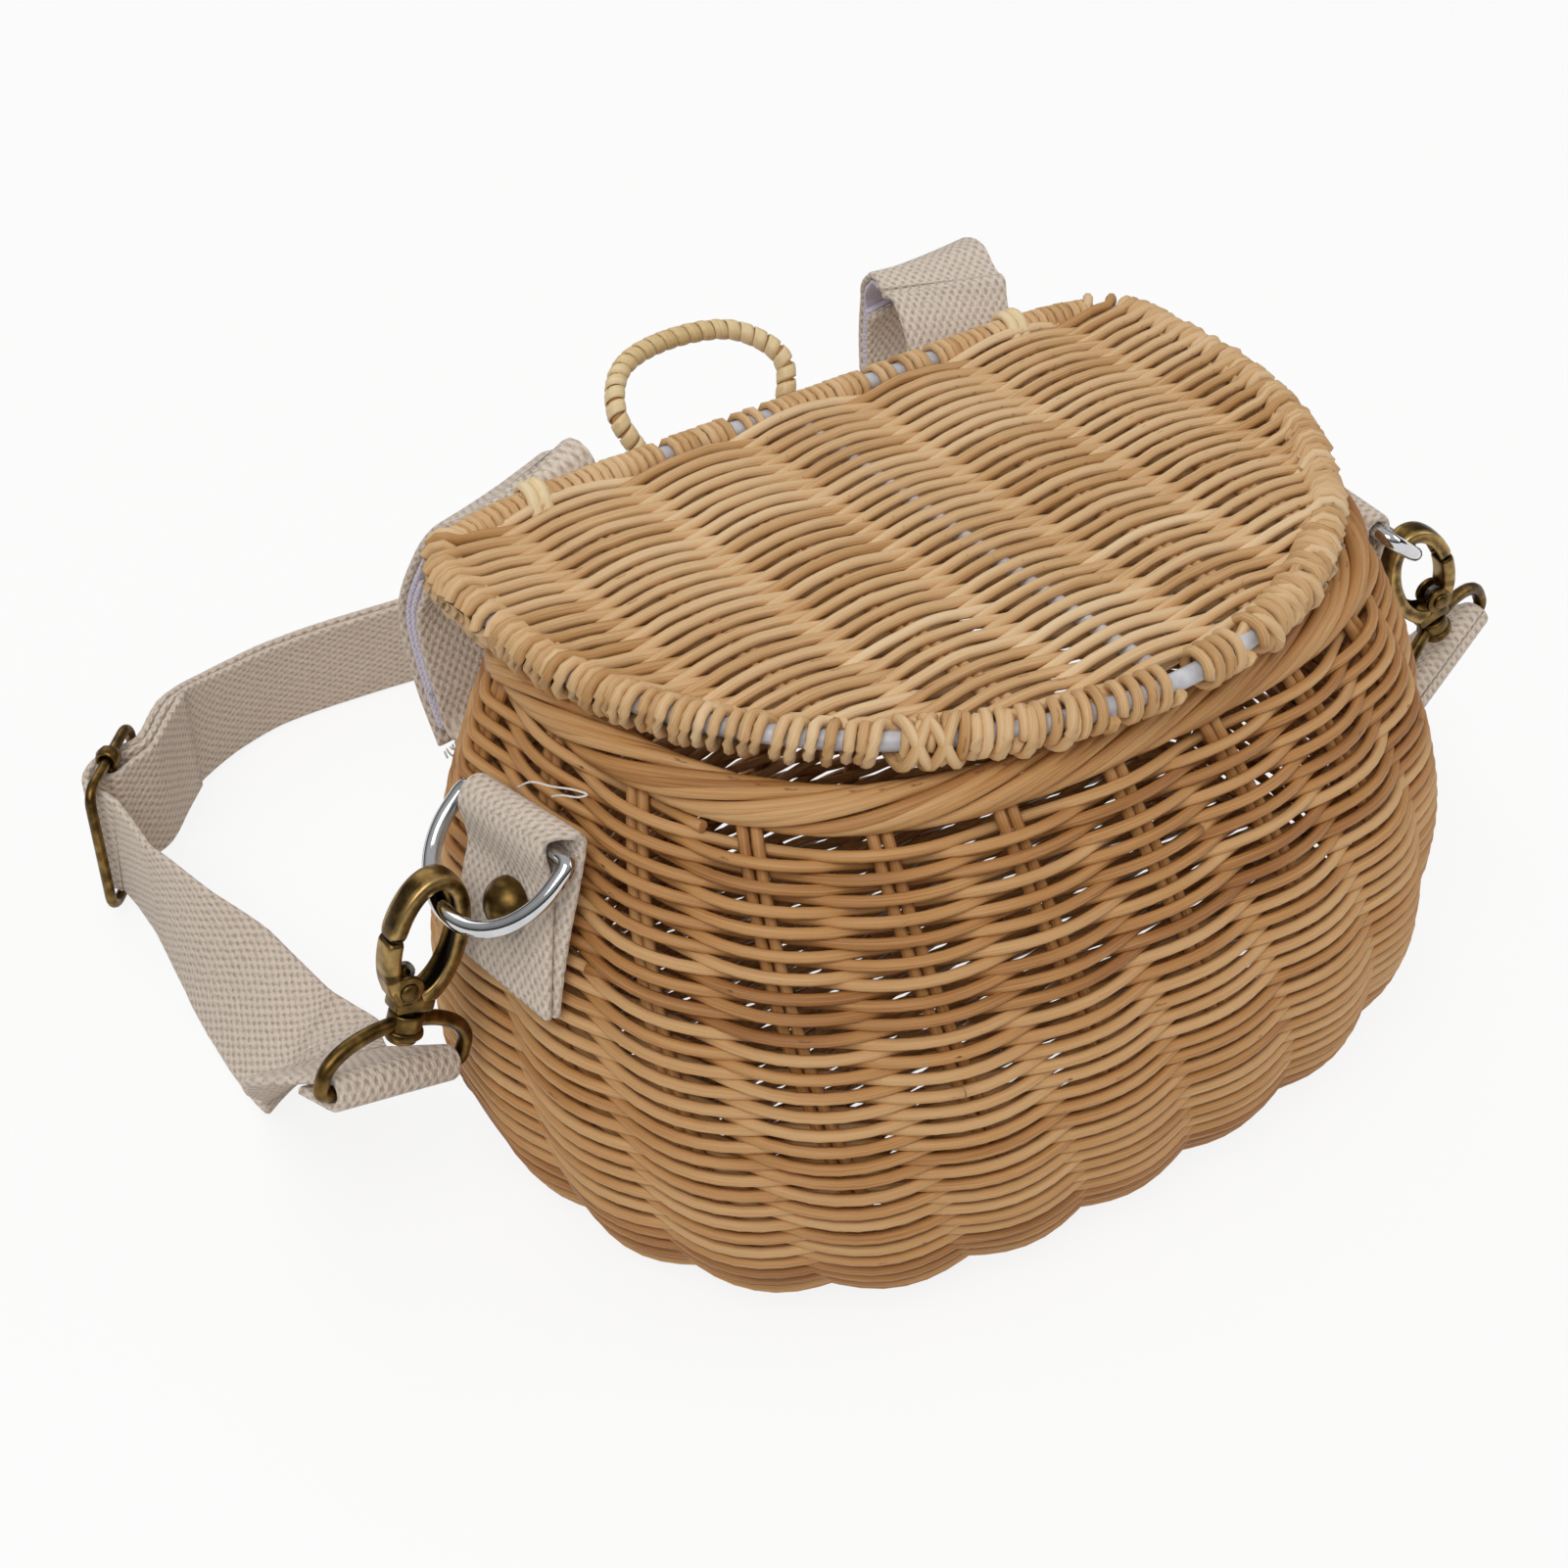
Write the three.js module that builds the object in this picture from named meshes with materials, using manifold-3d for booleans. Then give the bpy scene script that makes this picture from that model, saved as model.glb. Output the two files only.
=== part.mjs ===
import * as THREE from 'three';
import { mergeVertices } from 'three/addons/utils/BufferGeometryUtils.js';
import Module from 'manifold-3d';

// A rattan bicycle basket: a bulging woven body, a hinged woven lid, two handlebar straps, a carry loop
// and a shoulder strap that clips to a D-ring at each end.
// Millimetres, +Z up, the front faces -Y, and the base rests on z = 0.

const wasm = await Module();
wasm.setup();
const { Group, Matrix4, Mesh, Vector2, Vector3 } = THREE;
const degrees = THREE.MathUtils.degToRad;
const X = new Vector3(1, 0, 0);
const Y = new Vector3(0, 1, 0);
const Z = new Vector3(0, 0, 1);

// Fit
const CLEAR = 0.3; // gap between touching pieces

// Woven body: half-width, reach to the front and reach to the back of its widest line
const WIDEST_Y = 25;
const BASE_SIDE = 101;
const BASE_FRONT = 90;
const BASE_BACK = 43;
const BELLY_SIDE = 115;
const BELLY_FRONT = 110.5;
const BELLY_BACK = 49;
const BELLY_Z = 42;
const RIM_SIDE = 94.5;
const RIM_FRONT = 88.5;
const RIM_BACK = 45;
const RIM_TOP = 123;
const NECK_Z = 118; // height at which the wall reaches the rim's size
const RIM_DROP = 2.5; // how much lower the rim is at the front than at the back
const FRONT_POWER = 2.9; // squareness of the plan, front and back
const BACK_POWER = 1.85;
const SWELL_POWER = 2.2; // roundness of the belly
const WALL = 8;
const BASE_THICK = 6;
const BORDER_WIDTH = 9.5;
const BORDER_HEIGHT = 10;
const WALL_TOP = RIM_TOP - BORDER_HEIGHT - CLEAR;

// Weave of the body: a weaver climbs in a spiral and comes out over every second stake
const STAKES = 21;
const STAKE_FIRST = degrees(-89.5);
const STAKE_LEAN = degrees(-0.16); // for each mm of height
const STAKE_LEVEL = 70; // height at which the stakes are evenly apart
const WEAVER_PITCH = 2.8;
const WEAVE_DEPTH = 2.8; // from the outside of a weaver to the stakes behind it
const WEAVE_DEPTH_LOW = 0.8; // the same at the bottom edge

// Carry loop at the back
const LOOP_X = -8;
const LOOP_HALF = 22;
const LOOP_FOOT_HALF = 18;
const LOOP_FOOT_DEPTH = 26; // how far the feet reach below the rim's top
const LOOP_RISE = 11; // top of the loop above the rim's top
const LOOP_LEAN = 19; // how far the top leans back past the rim
const LOOP_CORE = 2.1;
const LOOP_STRIP_WIDTH = 2;
const LOOP_STRIP_THICK = 1.1;
const LOOP_TURNS = 18;
const LOOP_STEPS = 40;
const LOOP_SIDES = 6;

// Lid, to the middle of its wire
const LID_SIDE = 92;
const LID_FRONT = 88.5;
const LID_BACK = 35.5;
const LID_FRONT_POWER = 2;
const LID_BACK_POWER = 6.5;
const LID_LIFT = 4.5; // wire's middle above the rim's top
const LID_WIRE = 2; // radius
const LID_THICK = 7;
const LID_WEAVER_PITCH = 2.55;
const LID_WEAVE_DEPTH = 1.3; // from the top of a weaver to the hollow beside it
const LID_ROW_FIRST = 4.2; // from the back wire to the first weaver
const RIB_PITCH = 29.5;
const RIB_COUNT = 5;
const RIB_CANE = 2.4; // a rib is a pair of canes this thick
const RIB_WIRE = 1.6; // radius of the wire rib in the middle
const RIB_SET_BACK = 7; // from the wire to a rib's ends, back and front
const RIB_SET_FRONT = 5.5;
const BIND_STRIP = 3.6;
const BIND_THICK = 1.2;
const BIND_TURNS = 20;
const BIND_END_TURNS = 2;
const BIND_END = 75.5; // x where the whipping stops

// Cord ties that hinge the lid
const TIE_X = 63.5;
const TIE_CORD = 1; // radius
const TIE_PITCH = 2.6;
const TIE_TURNS = 2;
const TIE_DEPTH = 9; // how far under the lid wire the tie is rooted in the border
const TIE_ROOT = 3.5; // how far outside the border's middle
const TIE_ROOM = 8.5; // free radius round the lid wire at a tie

// Webbing
const WEB_WIDTH = 30;
const WEB_THICK = 1.8;
const TAPE_THICK = 1.2;
const TAPE_WIDTH = 26;

// Handlebar straps: routes in the upright plane square to the wall, out from the wall and up from the base
const BAR_STRAP_X = 55;
const SLOT_LOW = 84;
const SLOT_HIGH = 106;
const FLAP_LEFT = [[14, 122.8], [21, 118], [28.5, 107], [34.2, 91], [31.5, 73], [26, 57]];
const FLAP_RIGHT = [[22, 130.5], [33, 131], [42.5, 125], [46, 111], [41.5, 96], [32.5, 90]];
const REACH_LEFT = [[2.5, 114], [8, 124.5]]; // between the high slot and the flap
const REACH_RIGHT = [[5, 117], [12, 126]];
const RETURN_LEFT = [[23, 63], [12, 70], [5, 79]]; // between the loop tape and the low slot
const RETURN_RIGHT = [[28, 91], [17, 85], [8, 84]];
const TAPE_FROM = 0.4; // share of the flap where the tapes start and stop
const TAPE_TO = 0.82;

// Side tabs, D-rings and rivets
const TAB_Y = -4;
const TAB_Z_LEFT = 87;
const TAB_Z_RIGHT = 82;
const TAB_DOWN = 18;
const TAB_PINCH = 4.3; // how much the front layer narrows where the ring comes out beside it
const RING_BAR_Z = 16; // D-ring bar above the rivet
const RING_WIRE = 1.75; // radius
const RING_HALF = 16.2;
const RING_DEPTH = 22;
const RING_STRAIGHT = 5;
const RING_SHIFT = -3; // how far the ring sits along its fold, towards the hook
const RING_CORNER = 2.2;
const RING_SWING_LEFT = degrees(32);
const RING_SWING_RIGHT = degrees(36);
const RIVET_HEAD = 5;
const RIVET_DOME = 3.4;
const RIVET_SHANK = 1.6;
const WASHER = 4.5;
const WASHER_THICK = 1;

// Snap hooks
const HOOK_AT = -6.5; // where the hook hangs along the D-ring
const HOOK_LEAN_LEFT = degrees(20);
const HOOK_LEAN_RIGHT = degrees(26);
const HOOK_ROLL = degrees(-6);
const HOOK_HEIGHT = 33;
const HOOK_HALF = 8.2;
const HOOK_WIDE = 5.6;
const EYE_HALF = 4.8;
const HOOK_CROWN = 2.8; // metal above the eye
const EYE_TOP = HOOK_HEIGHT - HOOK_CROWN;
const EYE_BOTTOM = 6;
const SEAT_DROP = 4.8;
const EYE_SEAT = EYE_TOP - SEAT_DROP; // where the D-ring's wire passes, up the hook and towards its spine
const EYE_SIDE = 0.4;
const GATE_PIVOT_X = -2;
const GATE_PIVOT_Z = 7.5;
const GATE_EYE = 3;
const GATE_TIP = 17;
const GATE_TIP_SLOPE = degrees(27);
const GATE_SLOT = 4.2;
const TONGUE = 2.4;
const PIN = 1.2;
const SPRING_OUT = 2.5;
const SPRING_THICK = 1;
const BASE_HALF = 4.2;
const BASE_BLOCK = 3.8;
const STEM = 2;
const STEM_HEAD = 3.2;
const STEM_HEAD_THICK = 1.3;
const COLLAR = 4;
const COLLAR_TALL = 5;
const LOOP_WIRE = 1.6; // strap loop, radius
const LOOP_WIDE = 17.4;
const LOOP_BAR = 16; // bar below the hook's foot
const LOOP_STRAIGHT = 4;
const LOOP_CORNER = 2;
const LOOP_TURN_LEFT = degrees(8); // strap loop against the hook
const LOOP_TURN_RIGHT = degrees(22);

// Shoulder strap: points of its middle line and its tilt, 0 lying flat and 90 standing on edge
const STRAP_LEFT = [
  [-133.2, 47, 19, 36], [-133.5, 58, 13, 50], [-134, 72, 12.2, 48], [-134.5, 86, 13.2, 55],
  [-136.6, 101, 15.6, 74], [-138, 122, 18, 90],
];
const STRAP_BACK = [
  [-103, 174, 17.5, 86], [-89, 180.5, 16, 80], [-74, 183.8, 15.4, 77], [-43, 182, 15.2, 77],
  [-4, 176, 15.3, 80], [40, 164, 15.5, 86], [84, 140, 15.5, 90], [119, 104, 15.5, 88],
  [137, 72, 15, 72], [146, 42, 15.5, 45], [149.5, 16, 25, 20],
];
const SLIDER_X = -134; // middle bar
const SLIDER_Y = 148.5;
const SLIDER_Z = 21;
const SLIDER_HEADING = degrees(47);
const SLIDER_HALF = 14;
const SLIDER_TALL = 17.7;
const SLIDER_WIRE = 1.3; // radius
const SLIDER_CORNER = 4;
const SLIDER_CURL = 0.8; // radius of the wire curled round the frame
const SEWN_TAIL = 24;
const LAYERS_PART = 0.9; // how far each layer leaves the other on its way to the right loop's bar
const LAYERS_PART_OVER = 8; // stations

// Closed mesh over rings of points; open ends are capped, and isTurned tells which cells are split the
// other way
function skin(rings, closed = false, isTurned = () => false) {
  const count = rings[0].length;
  const points = rings.flat();
  const index = [];
  const rows = closed ? rings.length : rings.length - 1;
  for (let i = 0; i < rows; i++) {
    const here = i * count;
    const next = ((i + 1) % rings.length) * count;
    for (let j = 0; j < count; j++) {
      const k = (j + 1) % count;
      const [a, b, c, d] = [here + j, here + k, next + k, next + j];
      if (isTurned(i, j)) index.push(a, b, d, b, c, d);
      else index.push(a, b, c, a, c, d);
    }
  }
  const cap = (ring, first, reversed) => {
    const middle = ring.reduce((sum, p) => sum.add(p), new Vector3()).divideScalar(count);
    const at = points.push(middle) - 1;
    for (let j = 0; j < count; j++) {
      const k = (j + 1) % count;
      index.push(at, first + (reversed ? k : j), first + (reversed ? j : k));
    }
  };
  if (!closed) {
    cap(rings[0], 0, true);
    cap(rings.at(-1), (rings.length - 1) * count, false);
  }
  return outward(points, index);
}

// Indexed geometry whose faces point out
function outward(points, index) {
  let volume = 0;
  for (let i = 0; i < index.length; i += 3) {
    const [a, b, c] = index.slice(i, i + 3).map((k) => points[k]);
    volume += a.dot(b.clone().cross(c));
  }
  const geometry = new THREE.BufferGeometry().setFromPoints(points);
  geometry.setIndex(volume < 0 ? index.reverse() : index);
  return geometry;
}

// Sweep of a section along stations, each a point p with the direction n of the section's first axis;
// a section that changes on the way is a function of the station. Both faces of a four-cornered strip are
// split alike, so that it keeps its thickness where it twists, and a station marked as turned swaps them
function sweep(stations, section, closed = false) {
  const count = stations.length;
  const at = (i) => stations[closed ? (i + count) % count : Math.min(Math.max(i, 0), count - 1)].p;
  const rings = stations.map(({ p, n }, i) => {
    const along = at(i + 1).clone().sub(at(i - 1)).normalize();
    const side = n.clone().addScaledVector(along, -n.dot(along)).normalize();
    const up = along.clone().cross(side);
    const outline = typeof section === 'function' ? section(i) : section;
    return outline.map(([u, v]) => p.clone().addScaledVector(side, u).addScaledVector(up, v));
  });
  const isBack = (j) => rings[0].length === 4 && j === 2;
  return skin(rings, closed, (i, j) => isBack(j) !== Boolean(stations[i].turned));
}

const round = (radius, sides) => Array.from({ length: sides }, (_, i) => {
  const angle = (2 * Math.PI * (i + 0.5)) / sides;
  return [radius * Math.cos(angle), radius * Math.sin(angle)];
});
const flat = (width, thick) => [
  [width / 2, thick / 2], [-width / 2, thick / 2], [-width / 2, -thick / 2], [width / 2, -thick / 2],
];
const web = (grow = 0) => flat(WEB_WIDTH + 2 * grow, WEB_THICK + 2 * grow);

function tube(curve, radius, steps, sides) {
  const shape = new THREE.Shape(round(radius, sides).map(([u, v]) => new Vector2(u, v)));
  return new THREE.ExtrudeGeometry(shape, { steps, extrudePath: curve });
}

function extrude(shape, thick) {
  const geometry = new THREE.ExtrudeGeometry(shape, { depth: thick, bevelEnabled: false, curveSegments: 14 });
  return geometry.translate(0, 0, -thick / 2);
}

// Booleans
function solid(geometry) {
  const bare = geometry.clone();
  bare.deleteAttribute('normal');
  bare.deleteAttribute('uv');
  const merged = mergeVertices(bare, 1e-4);
  return new wasm.Manifold(new wasm.Mesh({
    numProp: 3,
    vertProperties: new Float32Array(merged.attributes.position.array),
    triVerts: new Uint32Array(merged.index.array),
  }));
}

function fromSolid(manifold) {
  const mesh = manifold.getMesh();
  const geometry = new THREE.BufferGeometry();
  geometry.setAttribute('position', new THREE.BufferAttribute(new Float32Array(mesh.vertProperties), 3));
  geometry.setIndex([...mesh.triVerts]);
  return geometry;
}

const cut = (geometry, ...tools) =>
  fromSolid(tools.reduce((rest, tool) => rest.subtract(solid(tool)), solid(geometry)));
const join = (geometry, ...others) =>
  fromSolid(others.reduce((rest, other) => rest.add(solid(other)), solid(geometry)));
const common = (geometry, other) => fromSolid(solid(geometry).intersect(solid(other)));

// Least gap of a wound strip to itself, over points at least most of a turn apart
function printLeastGap(name, stations, perTurn, width) {
  let least = Infinity;
  const apart = Math.round(perTurn * 0.75);
  stations.forEach(({ p }, i) => {
    for (let j = i + apart; j < Math.min(stations.length, i + 2 * perTurn); j++)
      least = Math.min(least, p.distanceTo(stations[j].p));
  });
  console.log(`${name}: least gap to itself ${(least - width).toFixed(2)} mm`);
}

// Materials
const material = (color, roughness, metalness = 0) =>
  new THREE.MeshStandardMaterial({ color, roughness, metalness });
const RATTAN = material('#cfa468', 0.6);
const PALE_RATTAN = material('#dcb985', 0.6);
const CANE_PEEL = material('#e0c698', 0.5);
const COATED_WIRE = material('#e8e8ea', 0.4);
const COTTON = material('#e4d7c6', 0.95);
const TAPE = material('#d9d3e2', 0.9);
const CHROME = material('#d6d6d6', 0.12, 1);
const BRASS = material('#6f5a34', 0.35, 1);
const STEEL = material('#8c8c8c', 0.3, 1);

const basket = new Group();
function add(parent, name, geometry, finish) {
  const mesh = new Mesh(geometry, finish);
  mesh.name = name;
  parent.add(mesh);
}

// Plan of the body: a rounded D
function planPoint(angle, side, front, back) {
  const c = Math.cos(angle);
  const s = Math.sin(angle);
  const power = s < 0 ? FRONT_POWER : BACK_POWER;
  const reach = (Math.abs(c) ** power + Math.abs(s) ** power) ** (-1 / power);
  return new Vector2(side * reach * c, WIDEST_Y + (s < 0 ? front : back) * reach * s);
}

// A height of the body as it falls towards the front
function fall(z, y) {
  const share = (WIDEST_Y + RIM_BACK - y) / (RIM_BACK + RIM_FRONT);
  return z * (1 - (RIM_DROP / RIM_TOP) * share);
}

function swell(z, base, belly, rim) {
  if (z < BELLY_Z) return base + (belly - base) * Math.sqrt(1 - (1 - z / BELLY_Z) ** SWELL_POWER);
  return belly + (rim - belly) * ((z - BELLY_Z) / (NECK_Z - BELLY_Z)) ** 2;
}

const wallSide = (z) => swell(z, BASE_SIDE, BELLY_SIDE, RIM_SIDE);
const wallFront = (z) => swell(z, BASE_FRONT, BELLY_FRONT, RIM_FRONT);
const wallBack = (z) => swell(z, BASE_BACK, BELLY_BACK, RIM_BACK);

const AROUND = Array.from({ length: 44 }, (_, i) => (2 * Math.PI * i) / 44);
function bodyRing(z, inset, angles = AROUND) {
  return angles.map((angle) => {
    const p = planPoint(angle, wallSide(z) - inset, wallFront(z) - inset, wallBack(z) - inset);
    return new Vector3(p.x, p.y, fall(z, p.y));
  });
}

// A point under the outside of the body, square to it
function wallPoint(angle, z, depth) {
  const step = 0.1;
  const at = (turn, level) => {
    const p = planPoint(angle + turn, wallSide(level), wallFront(level), wallBack(level));
    return new Vector3(p.x, p.y, fall(level, p.y));
  };
  const p = at(0, z);
  const along = at(step / BELLY_SIDE, z).sub(p);
  const out = along.cross(at(0, z + step).sub(p)).normalize();
  return p.addScaledVector(out, -depth);
}

// Length of a line of points up to each of them
function runs(points) {
  const made = [0];
  for (let i = 1; i < points.length; i++) made.push(made[i - 1] + points[i].distanceTo(points[i - 1]));
  return made;
}

// Value of one rising table where another one passes a value
function lookup(from, to, value) {
  const past = from.findIndex((entry) => entry > value);
  const k = past < 0 ? from.length - 1 : Math.max(past, 1);
  return to[k - 1] + ((to[k] - to[k - 1]) * (value - from[k - 1])) / (from[k] - from[k - 1]);
}

// Stakes evenly round the body, and the height that the weaver has climbed
const FINE = 360;
const fineAngles = Array.from({ length: FINE + 1 }, (_, i) => Math.PI * ((2 * i) / FINE - 1));
const roundRuns = runs(fineAngles.map((angle) => wallPoint(angle, STAKE_LEVEL, WALL / 2)));
const fineHeights = Array.from({ length: FINE + 1 }, (_, i) => WALL_TOP * (i / FINE) ** 2);
const climbRuns = runs(fineHeights.map((z) => wallPoint(0, z, WALL / 2)));
function stakeAngle(count, z) {
  const length = roundRuns.at(-1);
  const run = lookup(fineAngles, roundRuns, STAKE_FIRST) + (count / STAKES) * length;
  const laps = Math.floor(run / length);
  const angle = lookup(roundRuns, fineAngles, run - laps * length) + 2 * Math.PI * laps;
  return angle + STAKE_LEAN * (z - STAKE_LEVEL);
}
const weaverRun = (angle) => (WEAVER_PITCH * (angle + Math.PI)) / (2 * Math.PI);

// The weaver's outside where it passes a stake: out over an even one, in behind an odd one
function weaverPoint(count) {
  let z = 0;
  for (let pass = 0; pass < 4; pass++) z = lookup(climbRuns, fineHeights, weaverRun(stakeAngle(count, z)));
  const depth = Math.min(WEAVE_DEPTH, WEAVE_DEPTH_LOW + z / 4);
  return wallPoint(stakeAngle(count, z), z, count % 2 === 0 ? 0 : depth);
}

// Woven wall: the weaver's relief outside, closed over smooth rings inside
const FIRST_STAKE = 1; // the relief starts where the weaver has left the bottom edge
function stakeRing(z, inset) {
  const angles = Array.from({ length: 2 * STAKES }, (_, i) => stakeAngle(FIRST_STAKE + i / 2, z));
  return bodyRing(z, inset, angles);
}

function wallGeometry() {
  const laps = Math.floor((climbRuns.at(-1) - weaverRun(stakeAngle(FIRST_STAKE, 0))) / WEAVER_PITCH - 0.4);
  const last = STAKES * laps;
  const points = Array.from({ length: last + 1 }, (_, i) => weaverPoint(FIRST_STAKE + i));
  const index = [];
  for (let i = 0; i + STAKES < last; i++) {
    const [a, b, c, d] = [i, i + 1, i + STAKES + 1, i + STAKES];
    if ((FIRST_STAKE + i) % 2 === 0) index.push(a, b, d, b, c, d);
    else index.push(a, b, c, a, c, d);
  }
  const across = 2 * STAKES;
  const ring = (z, inset) => points.push(...stakeRing(z, inset)) - across;
  const bottom = ring(0, 0);
  const top = ring(WALL_TOP, WEAVE_DEPTH / 2);
  const under = last - STAKES;
  for (let i = 0; i < STAKES; i++) {
    const [j, k, m] = [2 * i, 2 * i + 1, (2 * i + 2) % across];
    index.push(bottom + j, bottom + k, i, bottom + k, i + 1, i, bottom + k, bottom + m, i + 1);
    index.push(under + i, under + i + 1, top + k, under + i, top + k, top + j);
    index.push(under + i + 1, top + m, top + k);
  }
  index.push(STAKES, bottom, 0, under, top, last);
  const inside = [WALL_TOP, 101, 87, 73, 58, BELLY_Z, 27, 15, 7, 2, 0].map((z) => ring(z, WALL));
  const over = [top, ...inside, bottom];
  for (let i = 0; i + 1 < over.length; i++) {
    for (let j = 0; j < across; j++) {
      const k = (j + 1) % across;
      index.push(over[i] + j, over[i] + k, over[i + 1] + k, over[i] + j, over[i + 1] + k, over[i + 1] + j);
    }
  }
  return outward(points, index);
}

// Reach to the back of a half plan at x
const backReach = (x, side, back, power) => back * (1 - (Math.abs(x) / side) ** power) ** (1 / power);

// Upright frame square to the back wall at x and height z: width along the wall, out, up
function backWallFrame(x, z) {
  const y = (at) => WIDEST_Y + backReach(at, wallSide(z), wallBack(z), BACK_POWER);
  const along = new Vector3(1, y(x + 0.5) - y(x - 0.5), 0).normalize();
  const out = new Vector3(-along.y, along.x, 0);
  return { origin: new Vector3(x, y(x), 0), along, out };
}

// End frames: origin at the rivet on the wall, first axis out of the basket, third axis up the wall
function wallX(y, z) {
  const level = z / fall(1, y);
  return wallSide(level) * (1 - ((WIDEST_Y - y) / wallFront(level)) ** FRONT_POWER) ** (1 / FRONT_POWER);
}
const HUG = (BELLY_SIDE - RIM_SIDE) / (NECK_Z - BELLY_Z) ** 2; // the wall's bend under the tab
const tabZ = (side) => (side < 0 ? TAB_Z_LEFT : TAB_Z_RIGHT);
const tabLean = (side) => Math.atan(2 * HUG * (tabZ(side) - BELLY_Z));
function endMatrix(side) {
  const z = tabZ(side);
  const turn = Math.atan((wallX(TAB_Y + 1, z) - wallX(TAB_Y - 1, z)) / 2);
  const matrix = new Matrix4().makeRotationZ(side > 0 ? -turn : Math.PI + turn);
  return matrix.setPosition(side * wallX(TAB_Y, z), TAB_Y, z);
}
const tabMatrix = (side) => endMatrix(side).multiply(new Matrix4().makeRotationY(-tabLean(side)));
const WALL_NORMAL = WALL * Math.cos(tabLean(1));

// Rivet: dome, shank and peened tail along the first axis
const TAB_OUT = 2 * (WEB_THICK + CLEAR); // outer face of the tab
const WASHER_IN = -WALL_NORMAL - 2 * CLEAR - WASHER_THICK;
function rivetGeometry() {
  const profile = [new Vector2(0, WASHER_IN - CLEAR - WASHER_THICK)];
  profile.push(new Vector2(RIVET_SHANK + 1, WASHER_IN - CLEAR - WASHER_THICK));
  profile.push(new Vector2(RIVET_SHANK + 1, WASHER_IN - CLEAR));
  profile.push(new Vector2(RIVET_SHANK, WASHER_IN - CLEAR), new Vector2(RIVET_SHANK, TAB_OUT + CLEAR));
  for (let i = 0; i < 4; i++) {
    const angle = (i * Math.PI) / 8;
    profile.push(new Vector2(RIVET_HEAD * Math.cos(angle), TAB_OUT + CLEAR + RIVET_DOME * Math.sin(angle)));
  }
  profile.push(new Vector2(0, TAB_OUT + CLEAR + RIVET_DOME));
  return new THREE.LatheGeometry(profile, 12).rotateZ(-Math.PI / 2);
}
const shankHole = () =>
  new THREE.CylinderGeometry(RIVET_SHANK + CLEAR, RIVET_SHANK + CLEAR, 60, 16).rotateZ(Math.PI / 2);

// Carry loop
const rimBackOuter = WIDEST_Y + RIM_BACK;
const LOOP_OUT = LOOP_CORE + CLEAR + LOOP_STRIP_THICK;
function carryLoopCurve() {
  const leg = rimBackOuter + CLEAR + LOOP_OUT;
  const half = [
    [LOOP_FOOT_HALF - 1, leg - 6, RIM_TOP - LOOP_FOOT_DEPTH],
    [LOOP_FOOT_HALF, leg - 0.5, RIM_TOP - LOOP_FOOT_DEPTH * 0.6],
    [LOOP_FOOT_HALF + 1, leg + 1.5, RIM_TOP - LOOP_FOOT_DEPTH * 0.2],
    [LOOP_HALF, leg + LOOP_LEAN * 0.36, RIM_TOP + LOOP_RISE * 0.42],
    [LOOP_HALF * 0.7, leg + LOOP_LEAN * 0.8, RIM_TOP + LOOP_RISE * 0.9],
  ].map(([x, y, z]) => new Vector3(x, y, z));
  const top = new Vector3(0, leg + LOOP_LEAN, RIM_TOP + LOOP_RISE);
  const mirrored = half.map((p) => new Vector3(-p.x, p.y, p.z));
  const points = [...mirrored, top, ...half.reverse()];
  return new THREE.CatmullRomCurve3(points.map((p) => p.setX(p.x + LOOP_X)));
}

function wind(curve, from, to, turns, perTurn, radius) {
  const count = turns * perTurn;
  const fine = 200;
  const frames = curve.computeFrenetFrames(fine);
  return Array.from({ length: count + 1 }, (_, i) => {
    const u = from + ((to - from) * i) / count;
    const k = Math.round(u * fine);
    const angle = (2 * Math.PI * i) / perTurn;
    const out = frames.normals[k].clone().multiplyScalar(Math.cos(angle));
    out.addScaledVector(frames.binormals[k], Math.sin(angle));
    return { p: curve.getPointAt(u).addScaledVector(out, radius), n: out };
  });
}

// Lid outline, to the middle of the wire less an inset at the sides and front, and another at the back
const LID_Z = RIM_TOP + LID_LIFT;
const LID_AROUND = 76;
function lidRing(inset, backInset, z) {
  return Array.from({ length: LID_AROUND }, (_, i) => {
    const angle = (2 * Math.PI * (i + 0.5)) / LID_AROUND;
    const c = Math.cos(angle);
    const s = Math.sin(angle);
    const power = s < 0 ? LID_FRONT_POWER : LID_BACK_POWER;
    const reach = (Math.abs(c) ** power + Math.abs(s) ** power) ** (-1 / power);
    const depth = s < 0 ? LID_FRONT - inset : LID_BACK - backInset;
    return new Vector3((LID_SIDE - inset) * reach * c, WIDEST_Y + depth * reach * s, z);
  });
}
const lidBackY = (x) => WIDEST_Y + backReach(x, LID_SIDE, LID_BACK, LID_BACK_POWER);
const lidFrontY = (x) => WIDEST_Y - backReach(x, LID_SIDE, LID_FRONT, LID_FRONT_POWER);

// Ribs run from front to back under and over the weave
const ribX = (i) => (i - (RIB_COUNT - 1) / 2) * RIB_PITCH;
const isWireRib = (i) => 2 * i === RIB_COUNT - 1;
function ribGeometry(i, grow = 0, past = 0) {
  const front = lidFrontY(ribX(i)) + RIB_SET_FRONT - past;
  const back = lidBackY(ribX(i)) - RIB_SET_BACK + grow;
  const radius = (isWireRib(i) ? RIB_WIRE : RIB_CANE / 2) + grow;
  const half = isWireRib(i) ? 0 : RIB_CANE / 2;
  const shape = new THREE.Shape();
  shape.absarc(half, 0, radius, -Math.PI / 2, Math.PI / 2, false);
  shape.absarc(-half, 0, radius, Math.PI / 2, 1.5 * Math.PI, false);
  const options = { depth: back - front, bevelEnabled: false, curveSegments: 5 };
  const bar = new THREE.ExtrudeGeometry(shape, options);
  return bar.rotateX(-Math.PI / 2).translate(ribX(i), front, LID_Z);
}

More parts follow.
